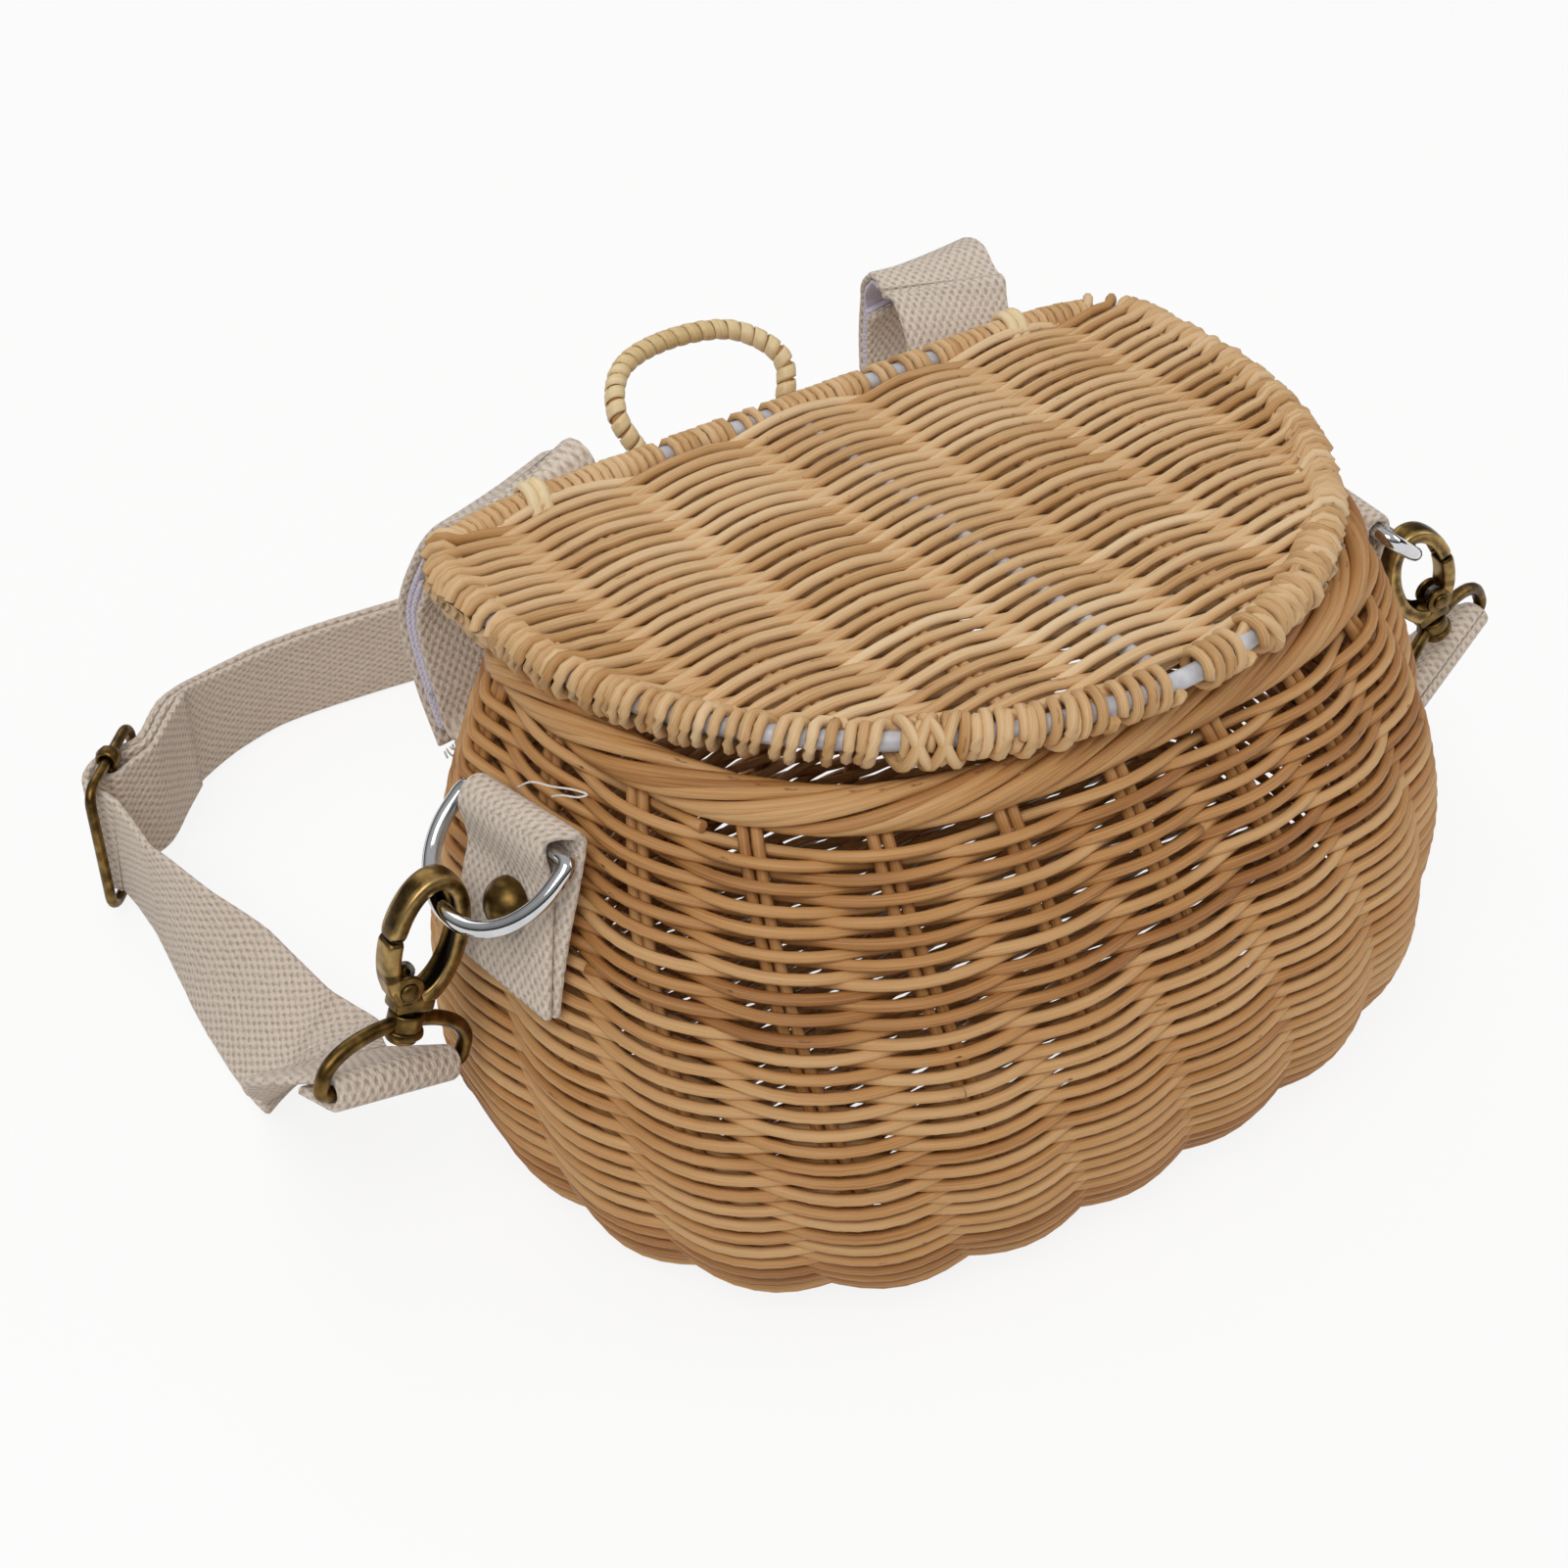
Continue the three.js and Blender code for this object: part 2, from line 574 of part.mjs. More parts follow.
// Weave of the lid: weavers across it, each over every second rib, and the next one over the others;
// its underside is plain
function lidSlab() {
  const columns = RIB_COUNT + 4;
  const rows = Math.ceil((LID_BACK + LID_FRONT) / LID_WEAVER_PITCH) + 1;
  const isHollow = (i, j) => (i + j) % 2 === 0;
  const rings = Array.from({ length: rows }, (_, i) => {
    const y = WIDEST_Y + LID_BACK - LID_ROW_FIRST + (1 - i) * LID_WEAVER_PITCH;
    const row = Array.from({ length: columns }, (_, j) =>
      new Vector3(ribX(j - 2), y, LID_Z + LID_THICK / 2 - (isHollow(i, j) ? LID_WEAVE_DEPTH : 0)));
    return [...row, ...row.map((p) => new Vector3(p.x, y, LID_Z - LID_THICK)).reverse()];
  });
  return skin(rings, false, (i, j) => !isHollow(i, j));
}

// Whipping round the back wire
const BIND_RADIUS = LID_WIRE + CLEAR + BIND_THICK / 2;
const BIND_OUT = LID_WIRE + CLEAR + BIND_THICK;
const TIE_HALF = (TIE_PITCH * TIE_TURNS) / 2 + TIE_CORD + CLEAR;
function bindingStations(from, to, turns, perTurn) {
  const count = turns * perTurn;
  return Array.from({ length: count + 1 }, (_, i) => {
    const x = from + ((to - from) * i) / count;
    const angle = (2 * Math.PI * i) / perTurn;
    const out = new Vector3(0, Math.cos(angle), Math.sin(angle));
    return { p: new Vector3(x, lidBackY(x), LID_Z).addScaledVector(out, BIND_RADIUS), n: out };
  });
}

// A tie: two loops round the lid wire and a root inside the border
const borderMiddle = RIM_TOP - BORDER_HEIGHT / 2;
function tieGeometry(side, grow = 0) {
  const perTurn = 12;
  const wire = new Vector3(0, lidBackY(TIE_X), LID_Z);
  const rootY = WIDEST_Y + TIE_ROOT
    + backReach(TIE_X, RIM_SIDE - BORDER_WIDTH / 2, RIM_BACK - BORDER_WIDTH / 2, BACK_POWER);
  const root = new Vector3(0, rootY, LID_Z - TIE_DEPTH);
  const up = wire.clone().sub(root).normalize();
  const across = up.clone().cross(X);
  const radius = LID_WIRE + CLEAR + TIE_CORD;
  const count = TIE_TURNS * perTurn;
  const stations = Array.from({ length: count + 1 }, (_, i) => {
    const angle = Math.PI + (2 * Math.PI * (i + 0.5)) / perTurn;
    const p = (Math.cos(angle) > 0 ? wire : root).clone();
    p.addScaledVector(up, radius * Math.cos(angle)).addScaledVector(across, radius * Math.sin(angle));
    return { p: p.setX(side * TIE_X + TIE_PITCH * (i / perTurn - TIE_TURNS / 2)), n: X };
  });
  if (grow === 0) printLeastGap(`hinge tie at x ${side * TIE_X}`, stations, perTurn, 2 * TIE_CORD);
  return sweep(stations, round(TIE_CORD + grow, 6));
}

// Handlebar strap: the flap, and the fixed webbing that leaves the wall above it and comes back below
const layerStep = { hook: WEB_THICK / 2 + CLEAR + TAPE_THICK / 2 };
layerStep.loop = layerStep.hook + TAPE_THICK + CLEAR;
layerStep.fixed = layerStep.loop + TAPE_THICK / 2 + 2 * CLEAR + WEB_THICK / 2;

const flatCurve = (points) => new THREE.SplineCurve(points.map(([d, z]) => new Vector2(d, z)));
function insideOf(curve, from, to, offset, count) {
  return Array.from({ length: count + 1 }, (_, i) => {
    const u = from + ((to - from) * i) / count;
    const p = curve.getPointAt(u);
    const t = curve.getTangentAt(u);
    return [p.x + t.y * offset, p.y - t.x * offset];
  });
}

function barStrap(side) {
  const left = side < 0;
  const { origin, along, out } = backWallFrame(side * BAR_STRAP_X, SLOT_HIGH);
  const place = (route) => route.map(([d, z]) => {
    const p = origin.clone().addScaledVector(out, d);
    return { p: p.setZ(z), n: along };
  });
  const flapCurve = flatCurve(left ? FLAP_LEFT : FLAP_RIGHT);
  const flap = flapCurve.getSpacedPoints(20).map((p) => [p.x, p.y]);
  const behind = insideOf(flapCurve, TAPE_FROM, TAPE_TO, layerStep.fixed, 5);
  const inner = -WALL - 3 * CLEAR - WEB_THICK;
  const start = insideOf(flapCurve, 0, 0.1, 0, 1);
  const gap = new Vector2(start[1][0] - start[0][0], start[1][1] - start[0][1]).normalize();
  const fixedCurve = flatCurve([
    ...behind, ...(left ? RETURN_LEFT : RETURN_RIGHT), [0, SLOT_LOW], [-WALL / 2, SLOT_LOW + 0.5],
    [inner, SLOT_LOW + 4], [inner - 0.6, (SLOT_LOW + SLOT_HIGH) / 2], [inner, SLOT_HIGH - 4.5],
    [-WALL / 2, SLOT_HIGH - 0.5], [0, SLOT_HIGH + 1], ...(left ? REACH_LEFT : REACH_RIGHT),
    ...[2 * WEB_THICK, CLEAR].map((back) => [start[0][0] - gap.x * back, start[0][1] - gap.y * back]),
  ]);
  const fixed = fixedCurve.getSpacedPoints(38).map((p) => [p.x, p.y]);
  const tape = (offset) => place(insideOf(flapCurve, TAPE_FROM, TAPE_TO, offset, 9));
  return {
    flap: sweep(place(flap), web()),
    fixed: sweep(place(fixed), web()),
    slots: sweep(place(fixed), web(CLEAR)),
    hookTape: sweep(tape(layerStep.hook), flat(TAPE_WIDTH, TAPE_THICK)),
    loopTape: sweep(tape(layerStep.loop), flat(TAPE_WIDTH, TAPE_THICK)),
  };
}
const barStraps = { left: barStrap(-1), right: barStrap(1) };

// Body
function addBody() {
  const loopCurve = carryLoopCurve();
  const holes = [-1, 1].map((side) => shankHole().applyMatrix4(tabMatrix(side)));
  const feet = tube(loopCurve, LOOP_CORE + CLEAR, LOOP_STEPS, LOOP_SIDES);
  const slots = [barStraps.left.slots, barStraps.right.slots];
  add(basket, 'side_wall', cut(wallGeometry(), feet, ...holes, ...slots), RATTAN);

  const floor = (z) => stakeRing(0, WALL + CLEAR).map((p) => p.setZ(z));
  add(basket, 'base_panel', skin([floor(0), floor(BASE_THICK)]), RATTAN);

  const border = bodyRing(NECK_Z, BORDER_WIDTH / 2).map((p) => {
    p.z += RIM_TOP - BORDER_HEIGHT / 2 - NECK_Z;
    return { p, n: Z };
  });
  const section = round(1, 6).map(([u, v]) => [(u * BORDER_HEIGHT) / 2, (v * BORDER_WIDTH) / 2]);
  const roots = [-1, 1].map((side) => tieGeometry(side, CLEAR));
  add(basket, 'rim_border', cut(sweep(border, section, true), ...roots), RATTAN);
  add(basket, 'hinge_tie_left', tieGeometry(-1), CANE_PEEL);
  add(basket, 'hinge_tie_right', tieGeometry(1), CANE_PEEL);

  add(basket, 'handle_core', tube(loopCurve, LOOP_CORE, LOOP_STEPS, LOOP_SIDES), RATTAN);
  const perTurn = 8;
  const radius = LOOP_CORE + CLEAR + LOOP_STRIP_THICK / 2;
  const wrap = wind(loopCurve, 0.19, 0.81, LOOP_TURNS, perTurn, radius);
  printLeastGap('handle wrap', wrap, perTurn, LOOP_STRIP_WIDTH);
  add(basket, 'handle_wrap', sweep(wrap, flat(LOOP_STRIP_THICK, LOOP_STRIP_WIDTH)), CANE_PEEL);
}

// Lid
function addLid() {
  const wire = lidRing(0, 0, LID_Z).map((p) => ({ p, n: Z }));
  add(basket, 'lid_frame', sweep(wire, round(LID_WIRE, 6), true), COATED_WIRE);
  const inset = LID_WIRE + CLEAR;
  const panel = skin([-0.5, 1].map((end) => lidRing(inset, BIND_OUT + CLEAR, LID_Z + end * LID_THICK)));
  const tunnels = [];
  for (let i = 0; i < RIB_COUNT; i++) {
    tunnels.push(ribGeometry(i, CLEAR, RIB_SET_FRONT));
    const name = isWireRib(i) ? 'lid_wire_rib' : `lid_cane_rib_${i + 1}`;
    add(basket, name, ribGeometry(i), isWireRib(i) ? COATED_WIRE : PALE_RATTAN);
  }
  const notches = [-1, 1].map((side) => new THREE.BoxGeometry(2 * TIE_HALF, 2 * TIE_ROOM, 2 * LID_THICK)
    .translate(side * TIE_X, lidBackY(TIE_X), LID_Z));
  add(basket, 'lid_weave', cut(common(lidSlab(), panel), ...tunnels, ...notches), PALE_RATTAN);

  const perTurn = 8;
  const free = TIE_X - TIE_HALF - BIND_STRIP;
  const far = TIE_X + TIE_HALF + BIND_STRIP / 2;
  const runs = [
    ['lid_binding_middle', -free, free, BIND_TURNS],
    ['lid_binding_left', -BIND_END, -far, BIND_END_TURNS],
    ['lid_binding_right', far, BIND_END, BIND_END_TURNS],
  ];
  for (const [name, from, to, turns] of runs) {
    const stations = bindingStations(from, to, turns, perTurn);
    const strip = Math.min(BIND_STRIP, (to - from) / turns - 2 * CLEAR);
    printLeastGap(name, stations, perTurn, strip);
    add(basket, name, sweep(stations, flat(BIND_THICK, strip)), CANE_PEEL);
  }
}

function addBarStraps() {
  for (const [name, parts] of Object.entries(barStraps)) {
    add(basket, `bar_strap_${name}`, parts.fixed, COTTON);
    add(basket, `bar_flap_${name}`, parts.flap, COTTON);
    add(basket, `hook_tape_${name}`, parts.hookTape, TAPE);
    add(basket, `loop_tape_${name}`, parts.loopTape, TAPE);
  }
}

// Outline of a D: its bar along the first axis at 0, its bow below
function dOutline(half, straight, depth, corner, count) {
  const path = new THREE.Path();
  path.moveTo(corner - half, 0);
  path.lineTo(half - corner, 0);
  path.absarc(half - corner, -corner, corner, Math.PI / 2, 0, true);
  path.lineTo(half, -straight);
  path.absellipse(0, -straight, half, depth - straight, 0, -Math.PI, true);
  path.lineTo(-half, -corner);
  path.absarc(corner - half, -corner, corner, Math.PI, Math.PI / 2, true);
  return path.getSpacedPoints(count).slice(0, -1);
}

// Tab: webbing folded over the D-ring's bar, both layers riveted to the wall; the front layer is pinched
const FOLD = RING_WIRE + CLEAR + WEB_THICK / 2;
const BACK_LAYER = CLEAR + WEB_THICK / 2;
const FRONT_LAYER = BACK_LAYER + WEB_THICK + CLEAR;
const RING_BAR_X = BACK_LAYER + FOLD;
function tabGeometry() {
  const hug = (z) => -0.8 * HUG * z * z;
  const route = [[-TAB_DOWN, 0], [-TAB_DOWN / 2, 0.3], [0, 0.7], [RIVET_HEAD + CLEAR, 1]]
    .map(([z, pinch]) => [FRONT_LAYER + hug(z), z, pinch]);
  route.push([RING_BAR_X + FOLD * 0.97, RING_BAR_Z - 2, 1]);
  for (let i = 0; i < 7; i++) {
    const angle = (i * Math.PI) / 6;
    const pinch = Math.max(0, 1 - i / 3);
    route.push([RING_BAR_X + FOLD * Math.cos(angle), RING_BAR_Z + FOLD * Math.sin(angle), pinch]);
  }
  for (const z of [RING_BAR_Z / 2, 0, -TAB_DOWN / 2, -TAB_DOWN]) route.push([BACK_LAYER + hug(z), z, 0]);
  const stations = route.map(([x, z]) => ({ p: new Vector3(x, 0, z), n: Y }));
  const pinched = (i) => web().map(([u, v]) => [u > 0 ? u - TAB_PINCH * route[i][2] : u, v]);
  return cut(sweep(stations, pinched), shankHole());
}

// The D-ring's bar and its swing about it
const ringMatrix = (side) => tabMatrix(side)
  .multiply(new Matrix4().makeTranslation(RING_BAR_X, RING_SHIFT, RING_BAR_Z))
  .multiply(new Matrix4().makeRotationY(side < 0 ? -RING_SWING_LEFT : -RING_SWING_RIGHT));
const ringDrop = (y) =>
  RING_STRAIGHT + (RING_DEPTH - RING_STRAIGHT) * Math.sqrt(1 - (y / RING_HALF) ** 2);

// Hook frame: third axis up the hook, first axis towards its spine; the D-ring passes at the seat height
function hookMatrix(side) {
  const seat = new Vector3(0, HOOK_AT, -ringDrop(HOOK_AT)).applyMatrix4(ringMatrix(side));
  const frame = endMatrix(side).setPosition(0, 0, 0);
  frame.multiply(new Matrix4().makeRotationY(side < 0 ? -HOOK_LEAN_LEFT : -HOOK_LEAN_RIGHT));
  frame.multiply(new Matrix4().makeRotationZ(Math.PI + HOOK_ROLL));
  return frame.setPosition(seat.sub(new Vector3(EYE_SIDE, 0, EYE_SEAT).applyMatrix4(frame)));
}

// Upright pieces of the hook are drawn in its first and third axes and given width along the second
const upright = (shape, wide) => extrude(shape, wide).rotateX(Math.PI / 2);
const disc = (radius, wide, x, z, sides = 20) =>
  new THREE.CylinderGeometry(radius, radius, wide, sides).translate(x, 0, z);
const post = (radius, low, high, sides = 16) => new THREE.CylinderGeometry(radius, radius, high - low, sides)
  .rotateX(Math.PI / 2).translate(0, 0, (low + high) / 2);

function hookOval() {
  const shape = new THREE.Shape();
  shape.absellipse(0, (HOOK_HEIGHT + 1) / 2, HOOK_HALF, (HOOK_HEIGHT - 1) / 2, 0, 2 * Math.PI);
  const eye = new THREE.Path();
  eye.absellipse(0, (EYE_TOP + EYE_BOTTOM) / 2, EYE_HALF, (EYE_TOP - EYE_BOTTOM) / 2, 0, 2 * Math.PI);
  shape.holes.push(eye);
  return upright(shape, HOOK_WIDE);
}

// The side of the oval that swings
function gateZone(grow, wide) {
  const inner = GATE_PIVOT_X + 1 + grow;
  const outer = -HOOK_HALF - 2;
  const tip = (x) => GATE_TIP + grow + Math.tan(GATE_TIP_SLOPE) * (x + HOOK_HALF);
  const low = BASE_BLOCK + CLEAR - grow;
  const corners = [[outer, low], [inner, low], [inner, tip(inner)], [outer, tip(outer)]];
  return upright(new THREE.Shape(corners.map(([x, z]) => new Vector2(x, z))), wide);
}

const TONGUE_Y = -(GATE_SLOT - TONGUE) / 2 + CLEAR;
const SPRING_Y = (GATE_SLOT - SPRING_THICK) / 2 - CLEAR;
const pinHole = (grow) => disc(PIN + grow, 2 * HOOK_WIDE, GATE_PIVOT_X, GATE_PIVOT_Z, 12);

function hookBody() {
  const foot = new THREE.BoxGeometry(2 * BASE_HALF, HOOK_WIDE, BASE_BLOCK).translate(0, 0, BASE_BLOCK / 2);
  const room = disc(GATE_EYE + CLEAR, 2 * HOOK_WIDE, GATE_PIVOT_X, GATE_PIVOT_Z);
  const frame = cut(join(hookOval(), foot), gateZone(CLEAR, 2 * HOOK_WIDE), room);
  const tongue = disc(GATE_EYE - CLEAR, TONGUE, GATE_PIVOT_X, GATE_PIVOT_Z).translate(0, TONGUE_Y, 0);
  const neck = new THREE.BoxGeometry(GATE_EYE, TONGUE, GATE_PIVOT_Z)
    .translate(GATE_PIVOT_X + GATE_EYE / 2, TONGUE_Y, GATE_PIVOT_Z / 2);
  const stem = post(STEM, -COLLAR_TALL - 2 * CLEAR - STEM_HEAD_THICK, 1);
  const head = post(STEM_HEAD, -COLLAR_TALL - 2 * CLEAR - STEM_HEAD_THICK, -COLLAR_TALL - 2 * CLEAR);
  return cut(join(frame, tongue, neck, stem, head), pinHole(CLEAR));
}

function hookGate() {
  const arm = common(hookOval(), gateZone(0, 2 * HOOK_WIDE));
  const eye = disc(GATE_EYE, HOOK_WIDE, GATE_PIVOT_X, GATE_PIVOT_Z);
  const slot = disc(GATE_EYE + 2 * CLEAR, GATE_SLOT, GATE_PIVOT_X, GATE_PIVOT_Z);
  return cut(join(arm, eye), slot, pinHole(CLEAR));
}

function gateSpring() {
  const ring = disc(SPRING_OUT, SPRING_THICK, GATE_PIVOT_X, GATE_PIVOT_Z, 16);
  return cut(ring, pinHole(CLEAR)).translate(0, SPRING_Y, 0);
}

const LOOP_TOP = -COLLAR_TALL / 2 - CLEAR; // the strap loop's wire inside its collar
function strapLoop() {
  const outline = dOutline(LOOP_WIDE, LOOP_STRAIGHT, LOOP_BAR + LOOP_TOP, LOOP_CORNER, 26);
  const stations = outline.map(({ x, y }) => ({ p: new Vector3(x, 0, -LOOP_BAR - y), n: Y }));
  const collar = post(COLLAR, -COLLAR_TALL - CLEAR, -CLEAR);
  return cut(join(sweep(stations, round(LOOP_WIRE, 6), true), collar), post(STEM + CLEAR, -20, 20));
}

function addEnd(side) {
  const name = side < 0 ? 'left' : 'right';
  const tab = new Group();
  tab.applyMatrix4(tabMatrix(side));
  add(tab, `tab_${name}`, tabGeometry(), COTTON);
  add(tab, `rivet_${name}`, rivetGeometry(), BRASS);
  const washer = new THREE.CylinderGeometry(WASHER, WASHER, WASHER_THICK, 16).rotateZ(Math.PI / 2);
  washer.translate(WASHER_IN + WASHER_THICK / 2, 0, 0);
  add(tab, `rivet_washer_${name}`, cut(washer, shankHole()), BRASS);

  const ring = new Group();
  ring.applyMatrix4(ringMatrix(side));
  const outline = dOutline(RING_HALF, RING_STRAIGHT, RING_DEPTH, RING_CORNER, 36);
  const stations = outline.map(({ x, y }) => ({ p: new Vector3(0, x, y), n: X }));
  add(ring, `d_ring_${name}`, sweep(stations, round(RING_WIRE, 6), true), CHROME);

  const hook = new Group();
  hook.applyMatrix4(hookMatrix(side));
  add(hook, `hook_body_${name}`, hookBody(), BRASS);
  add(hook, `hook_gate_${name}`, hookGate(), BRASS);
  const pin = disc(PIN, HOOK_WIDE + 2 * CLEAR, GATE_PIVOT_X, GATE_PIVOT_Z, 12);
  add(hook, `gate_pin_${name}`, pin, BRASS);
  add(hook, `gate_spring_${name}`, gateSpring(), STEEL);
  const loop = new Group();
  loop.applyMatrix4(loopMatrix(side));
  add(loop, `strap_loop_${name}`, strapLoop(), BRASS);
  basket.add(tab, ring, hook, loop);
}

// Shoulder strap: one webbing from its sewn end on the left loop, through the slider, round the right
// loop and back to its sewn end on the slider's middle bar
const loopMatrix = (side) => hookMatrix(side)
  .multiply(new Matrix4().makeRotationZ(side < 0 ? LOOP_TURN_LEFT : LOOP_TURN_RIGHT));
const BAR_FOLD = LOOP_WIRE + CLEAR + WEB_THICK / 2;
const LAYER = WEB_THICK + CLEAR; // from the middle of one layer to the next

const SLIDER_OUTER = [[-10.2, -3.2], [-8.6, 1.2], [-5.2, 4.4], [0, 5.1], [4.6, 3.8], [8.2, 0.5], [11.5, -2.2],
  [15, -2.9], [20, -2.8]];
const SLIDER_INNER = [[20, -4.9], [15, -5], [10.4, -4.2], [6.3, -1.1], [3.1, 1.9], [0, 2.9], [-2.05, 2.05],
  [-2.9, 0], [-2.05, -2.05], [0, -2.9], [4, -4.6], [8.5, -6.6], [14, -7.15], [20, -7.05], [32, -7.3]];
const sliderAlong = new Vector3(Math.cos(SLIDER_HEADING), Math.sin(SLIDER_HEADING), 0);
const sliderOut = Z.clone().cross(sliderAlong);
const sliderPoint = ([s, n]) => new Vector3(SLIDER_X, SLIDER_Y, SLIDER_Z)
  .addScaledVector(sliderAlong, s).addScaledVector(sliderOut, n);

// Width directions from the tilt, leaning to the inside of the strap's loop
function tilted(route) {
  const points = route.map(([x, y, z]) => new Vector3(x, y, z));
  return points.map((p, i) => {
    const along = points[Math.min(i + 1, points.length - 1)].clone().sub(points[Math.max(i - 1, 0)]);
    const inside = new Vector3(along.y, -along.x, 0).normalize();
    const tilt = degrees(route[i][3]);
    return { p, n: inside.multiplyScalar(Math.cos(tilt)).addScaledVector(Z, Math.sin(tilt)) };
  });
}

// Dense stations through a few chosen ones
function dense(stations, steps) {
  const curve = new THREE.CatmullRomCurve3(stations.map(({ p }) => p), false, 'centripetal');
  const spans = stations.length - 1;
  return Array.from({ length: spans * steps + 1 }, (_, i) => {
    const k = Math.min(Math.floor(i / steps), spans - 1);
    const n = stations[k].n.clone().lerp(stations[k + 1].n, i / steps - k).normalize();
    return { p: curve.getPoint(i / (spans * steps)), n };
  });
}

// The run laid back beside another, split so that the two layers stay parallel where they twist
const laidBack = (stations, offset) =>
  beside(stations, offset).reverse().map((station) => ({ ...station, turned: true }));

function beside(stations, offset) {
  const last = stations.length - 1;
  return stations.map(({ p, n }, i) => {
    const along = stations[Math.min(i + 1, last)].p.clone().sub(stations[Math.max(i - 1, 0)].p);
    const away = n.clone().cross(along).normalize();
    const far = typeof offset === 'function' ? offset(last - i) : offset;
    return { p: p.clone().addScaledVector(away, far), n };
  });
}

// Half turn round a loop's bar, from below the strap to above it
function barTurn(bar, width, away) {
  const up = width.clone().cross(away);
  return Array.from({ length: 7 }, (_, i) => {
    const angle = (Math.PI * i) / 6;
    const p = bar.clone().addScaledVector(up, -BAR_FOLD * Math.cos(angle));
    return { p: p.addScaledVector(away, -BAR_FOLD * Math.sin(angle)), n: width };
  });
}

function shoulderStrap() {
  const upright = (list) => list.map((q) => ({ p: sliderPoint(q), n: Z }));
  const barAt = (side) => new Vector3(0, 0, -LOOP_BAR).applyMatrix4(loopMatrix(side));
  const across = (side) => new Vector3().setFromMatrixColumn(loopMatrix(side), 0);
  const awayFrom = (bar, width, target) => {
    const away = target.clone().sub(bar);
    return away.addScaledVector(width, -away.dot(width)).normalize();
  };

  const leftRoute = tilted(STRAP_LEFT);
  const leftBar = barAt(-1);
  const leftWidth = across(-1);
  const leftAway = awayFrom(leftBar, leftWidth, leftRoute[0].p);
  const leftTurn = barTurn(leftBar, leftWidth, leftAway);
  const straight = [2 * BAR_FOLD, SEWN_TAIL].map((far) => ({
    p: leftTurn.at(-1).p.clone().addScaledVector(leftAway, far),
    n: leftWidth,
  }));
  const run = dense([leftTurn.at(-1), ...straight, ...leftRoute], 3);
  const sewn = run.filter(({ p }) => {
    const reach = p.distanceTo(leftBar);
    return reach > 3 * BAR_FOLD && reach < SEWN_TAIL;
  });
  const tail = laidBack(sewn, -LAYER);

  const backRoute = tilted(STRAP_BACK);
  const rightBar = barAt(1);
  const rightWidth = across(1);
  const rightAway = awayFrom(rightBar, rightWidth, backRoute.at(-1).p);
  const rightTurn = barTurn(rightBar, rightWidth, rightAway);
  const nearBar = { p: rightBar.clone().addScaledVector(rightAway, 5 * BAR_FOLD), n: rightWidth };
  const sliderEnd = upright([[26, (SLIDER_OUTER.at(-1)[1] + SLIDER_INNER[0][1]) / 2]]);
  const pair = dense([...sliderEnd, ...backRoute, nearBar], 3);
  const apart = (left) => LAYER / 2 + LAYERS_PART * Math.max(0, 1 - left / LAYERS_PART_OVER);
  return [
    ...tail, ...leftTurn, ...run.slice(1), ...dense(upright(SLIDER_OUTER), 2),
    ...beside(pair, apart), ...rightTurn, ...laidBack(pair, (left) => -apart(left)),
    ...dense(upright(SLIDER_INNER), 2),
  ];
}

function addStrap() {
  add(basket, 'shoulder_strap', sweep(shoulderStrap(), web()), COTTON);
  const slider = new Group();
  slider.position.set(SLIDER_X, SLIDER_Y, SLIDER_Z);
  slider.rotation.z = SLIDER_HEADING;
  const corner = new THREE.Shape();
  const long = SLIDER_HALF - SLIDER_CORNER;
  const tall = SLIDER_TALL - SLIDER_CORNER;
  corner.absarc(long, tall, SLIDER_CORNER, 0, Math.PI / 2, false);
  corner.absarc(-long, tall, SLIDER_CORNER, Math.PI / 2, Math.PI, false);
  corner.absarc(-long, -tall, SLIDER_CORNER, Math.PI, 1.5 * Math.PI, false);
  corner.absarc(long, -tall, SLIDER_CORNER, 1.5 * Math.PI, 2 * Math.PI, false);
  const outline = corner.getPoints(4);
  const stations = outline.map(({ x, y }) => ({ p: new Vector3(x, 0, y), n: Y }));
  add(slider, 'slider_frame', sweep(stations, round(SLIDER_WIRE, 6), true), BRASS);
  const curl = SLIDER_WIRE + CLEAR + SLIDER_CURL;
  const eyes = [-1, 1].map((end) => new THREE.TorusGeometry(curl, SLIDER_CURL, 6, 10).rotateY(Math.PI / 2)
    .translate(0, 0, end * SLIDER_TALL));
  const bar = post(SLIDER_WIRE, curl - SLIDER_TALL, SLIDER_TALL - curl, 8);
  add(slider, 'slider_bar', join(bar, ...eyes), BRASS);
  basket.add(slider);
}

addBody();
addLid();
addBarStraps();
addEnd(-1);
addEnd(1);
addStrap();

export default basket;
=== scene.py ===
import math

import bpy
import numpy as np
from mathutils import Matrix, Vector


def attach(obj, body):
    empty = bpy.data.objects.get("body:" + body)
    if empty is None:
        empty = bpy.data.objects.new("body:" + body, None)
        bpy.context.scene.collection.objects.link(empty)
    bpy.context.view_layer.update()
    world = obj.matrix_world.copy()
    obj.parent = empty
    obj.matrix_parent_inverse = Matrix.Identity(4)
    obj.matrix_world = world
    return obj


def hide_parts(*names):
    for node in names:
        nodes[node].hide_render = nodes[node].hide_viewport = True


# A rattan bicycle basket with a hinged lid, handlebar straps and a shoulder strap.
# Sizes are in millimetres until a mesh is written; the front faces -Y and the base rests on z = 0.

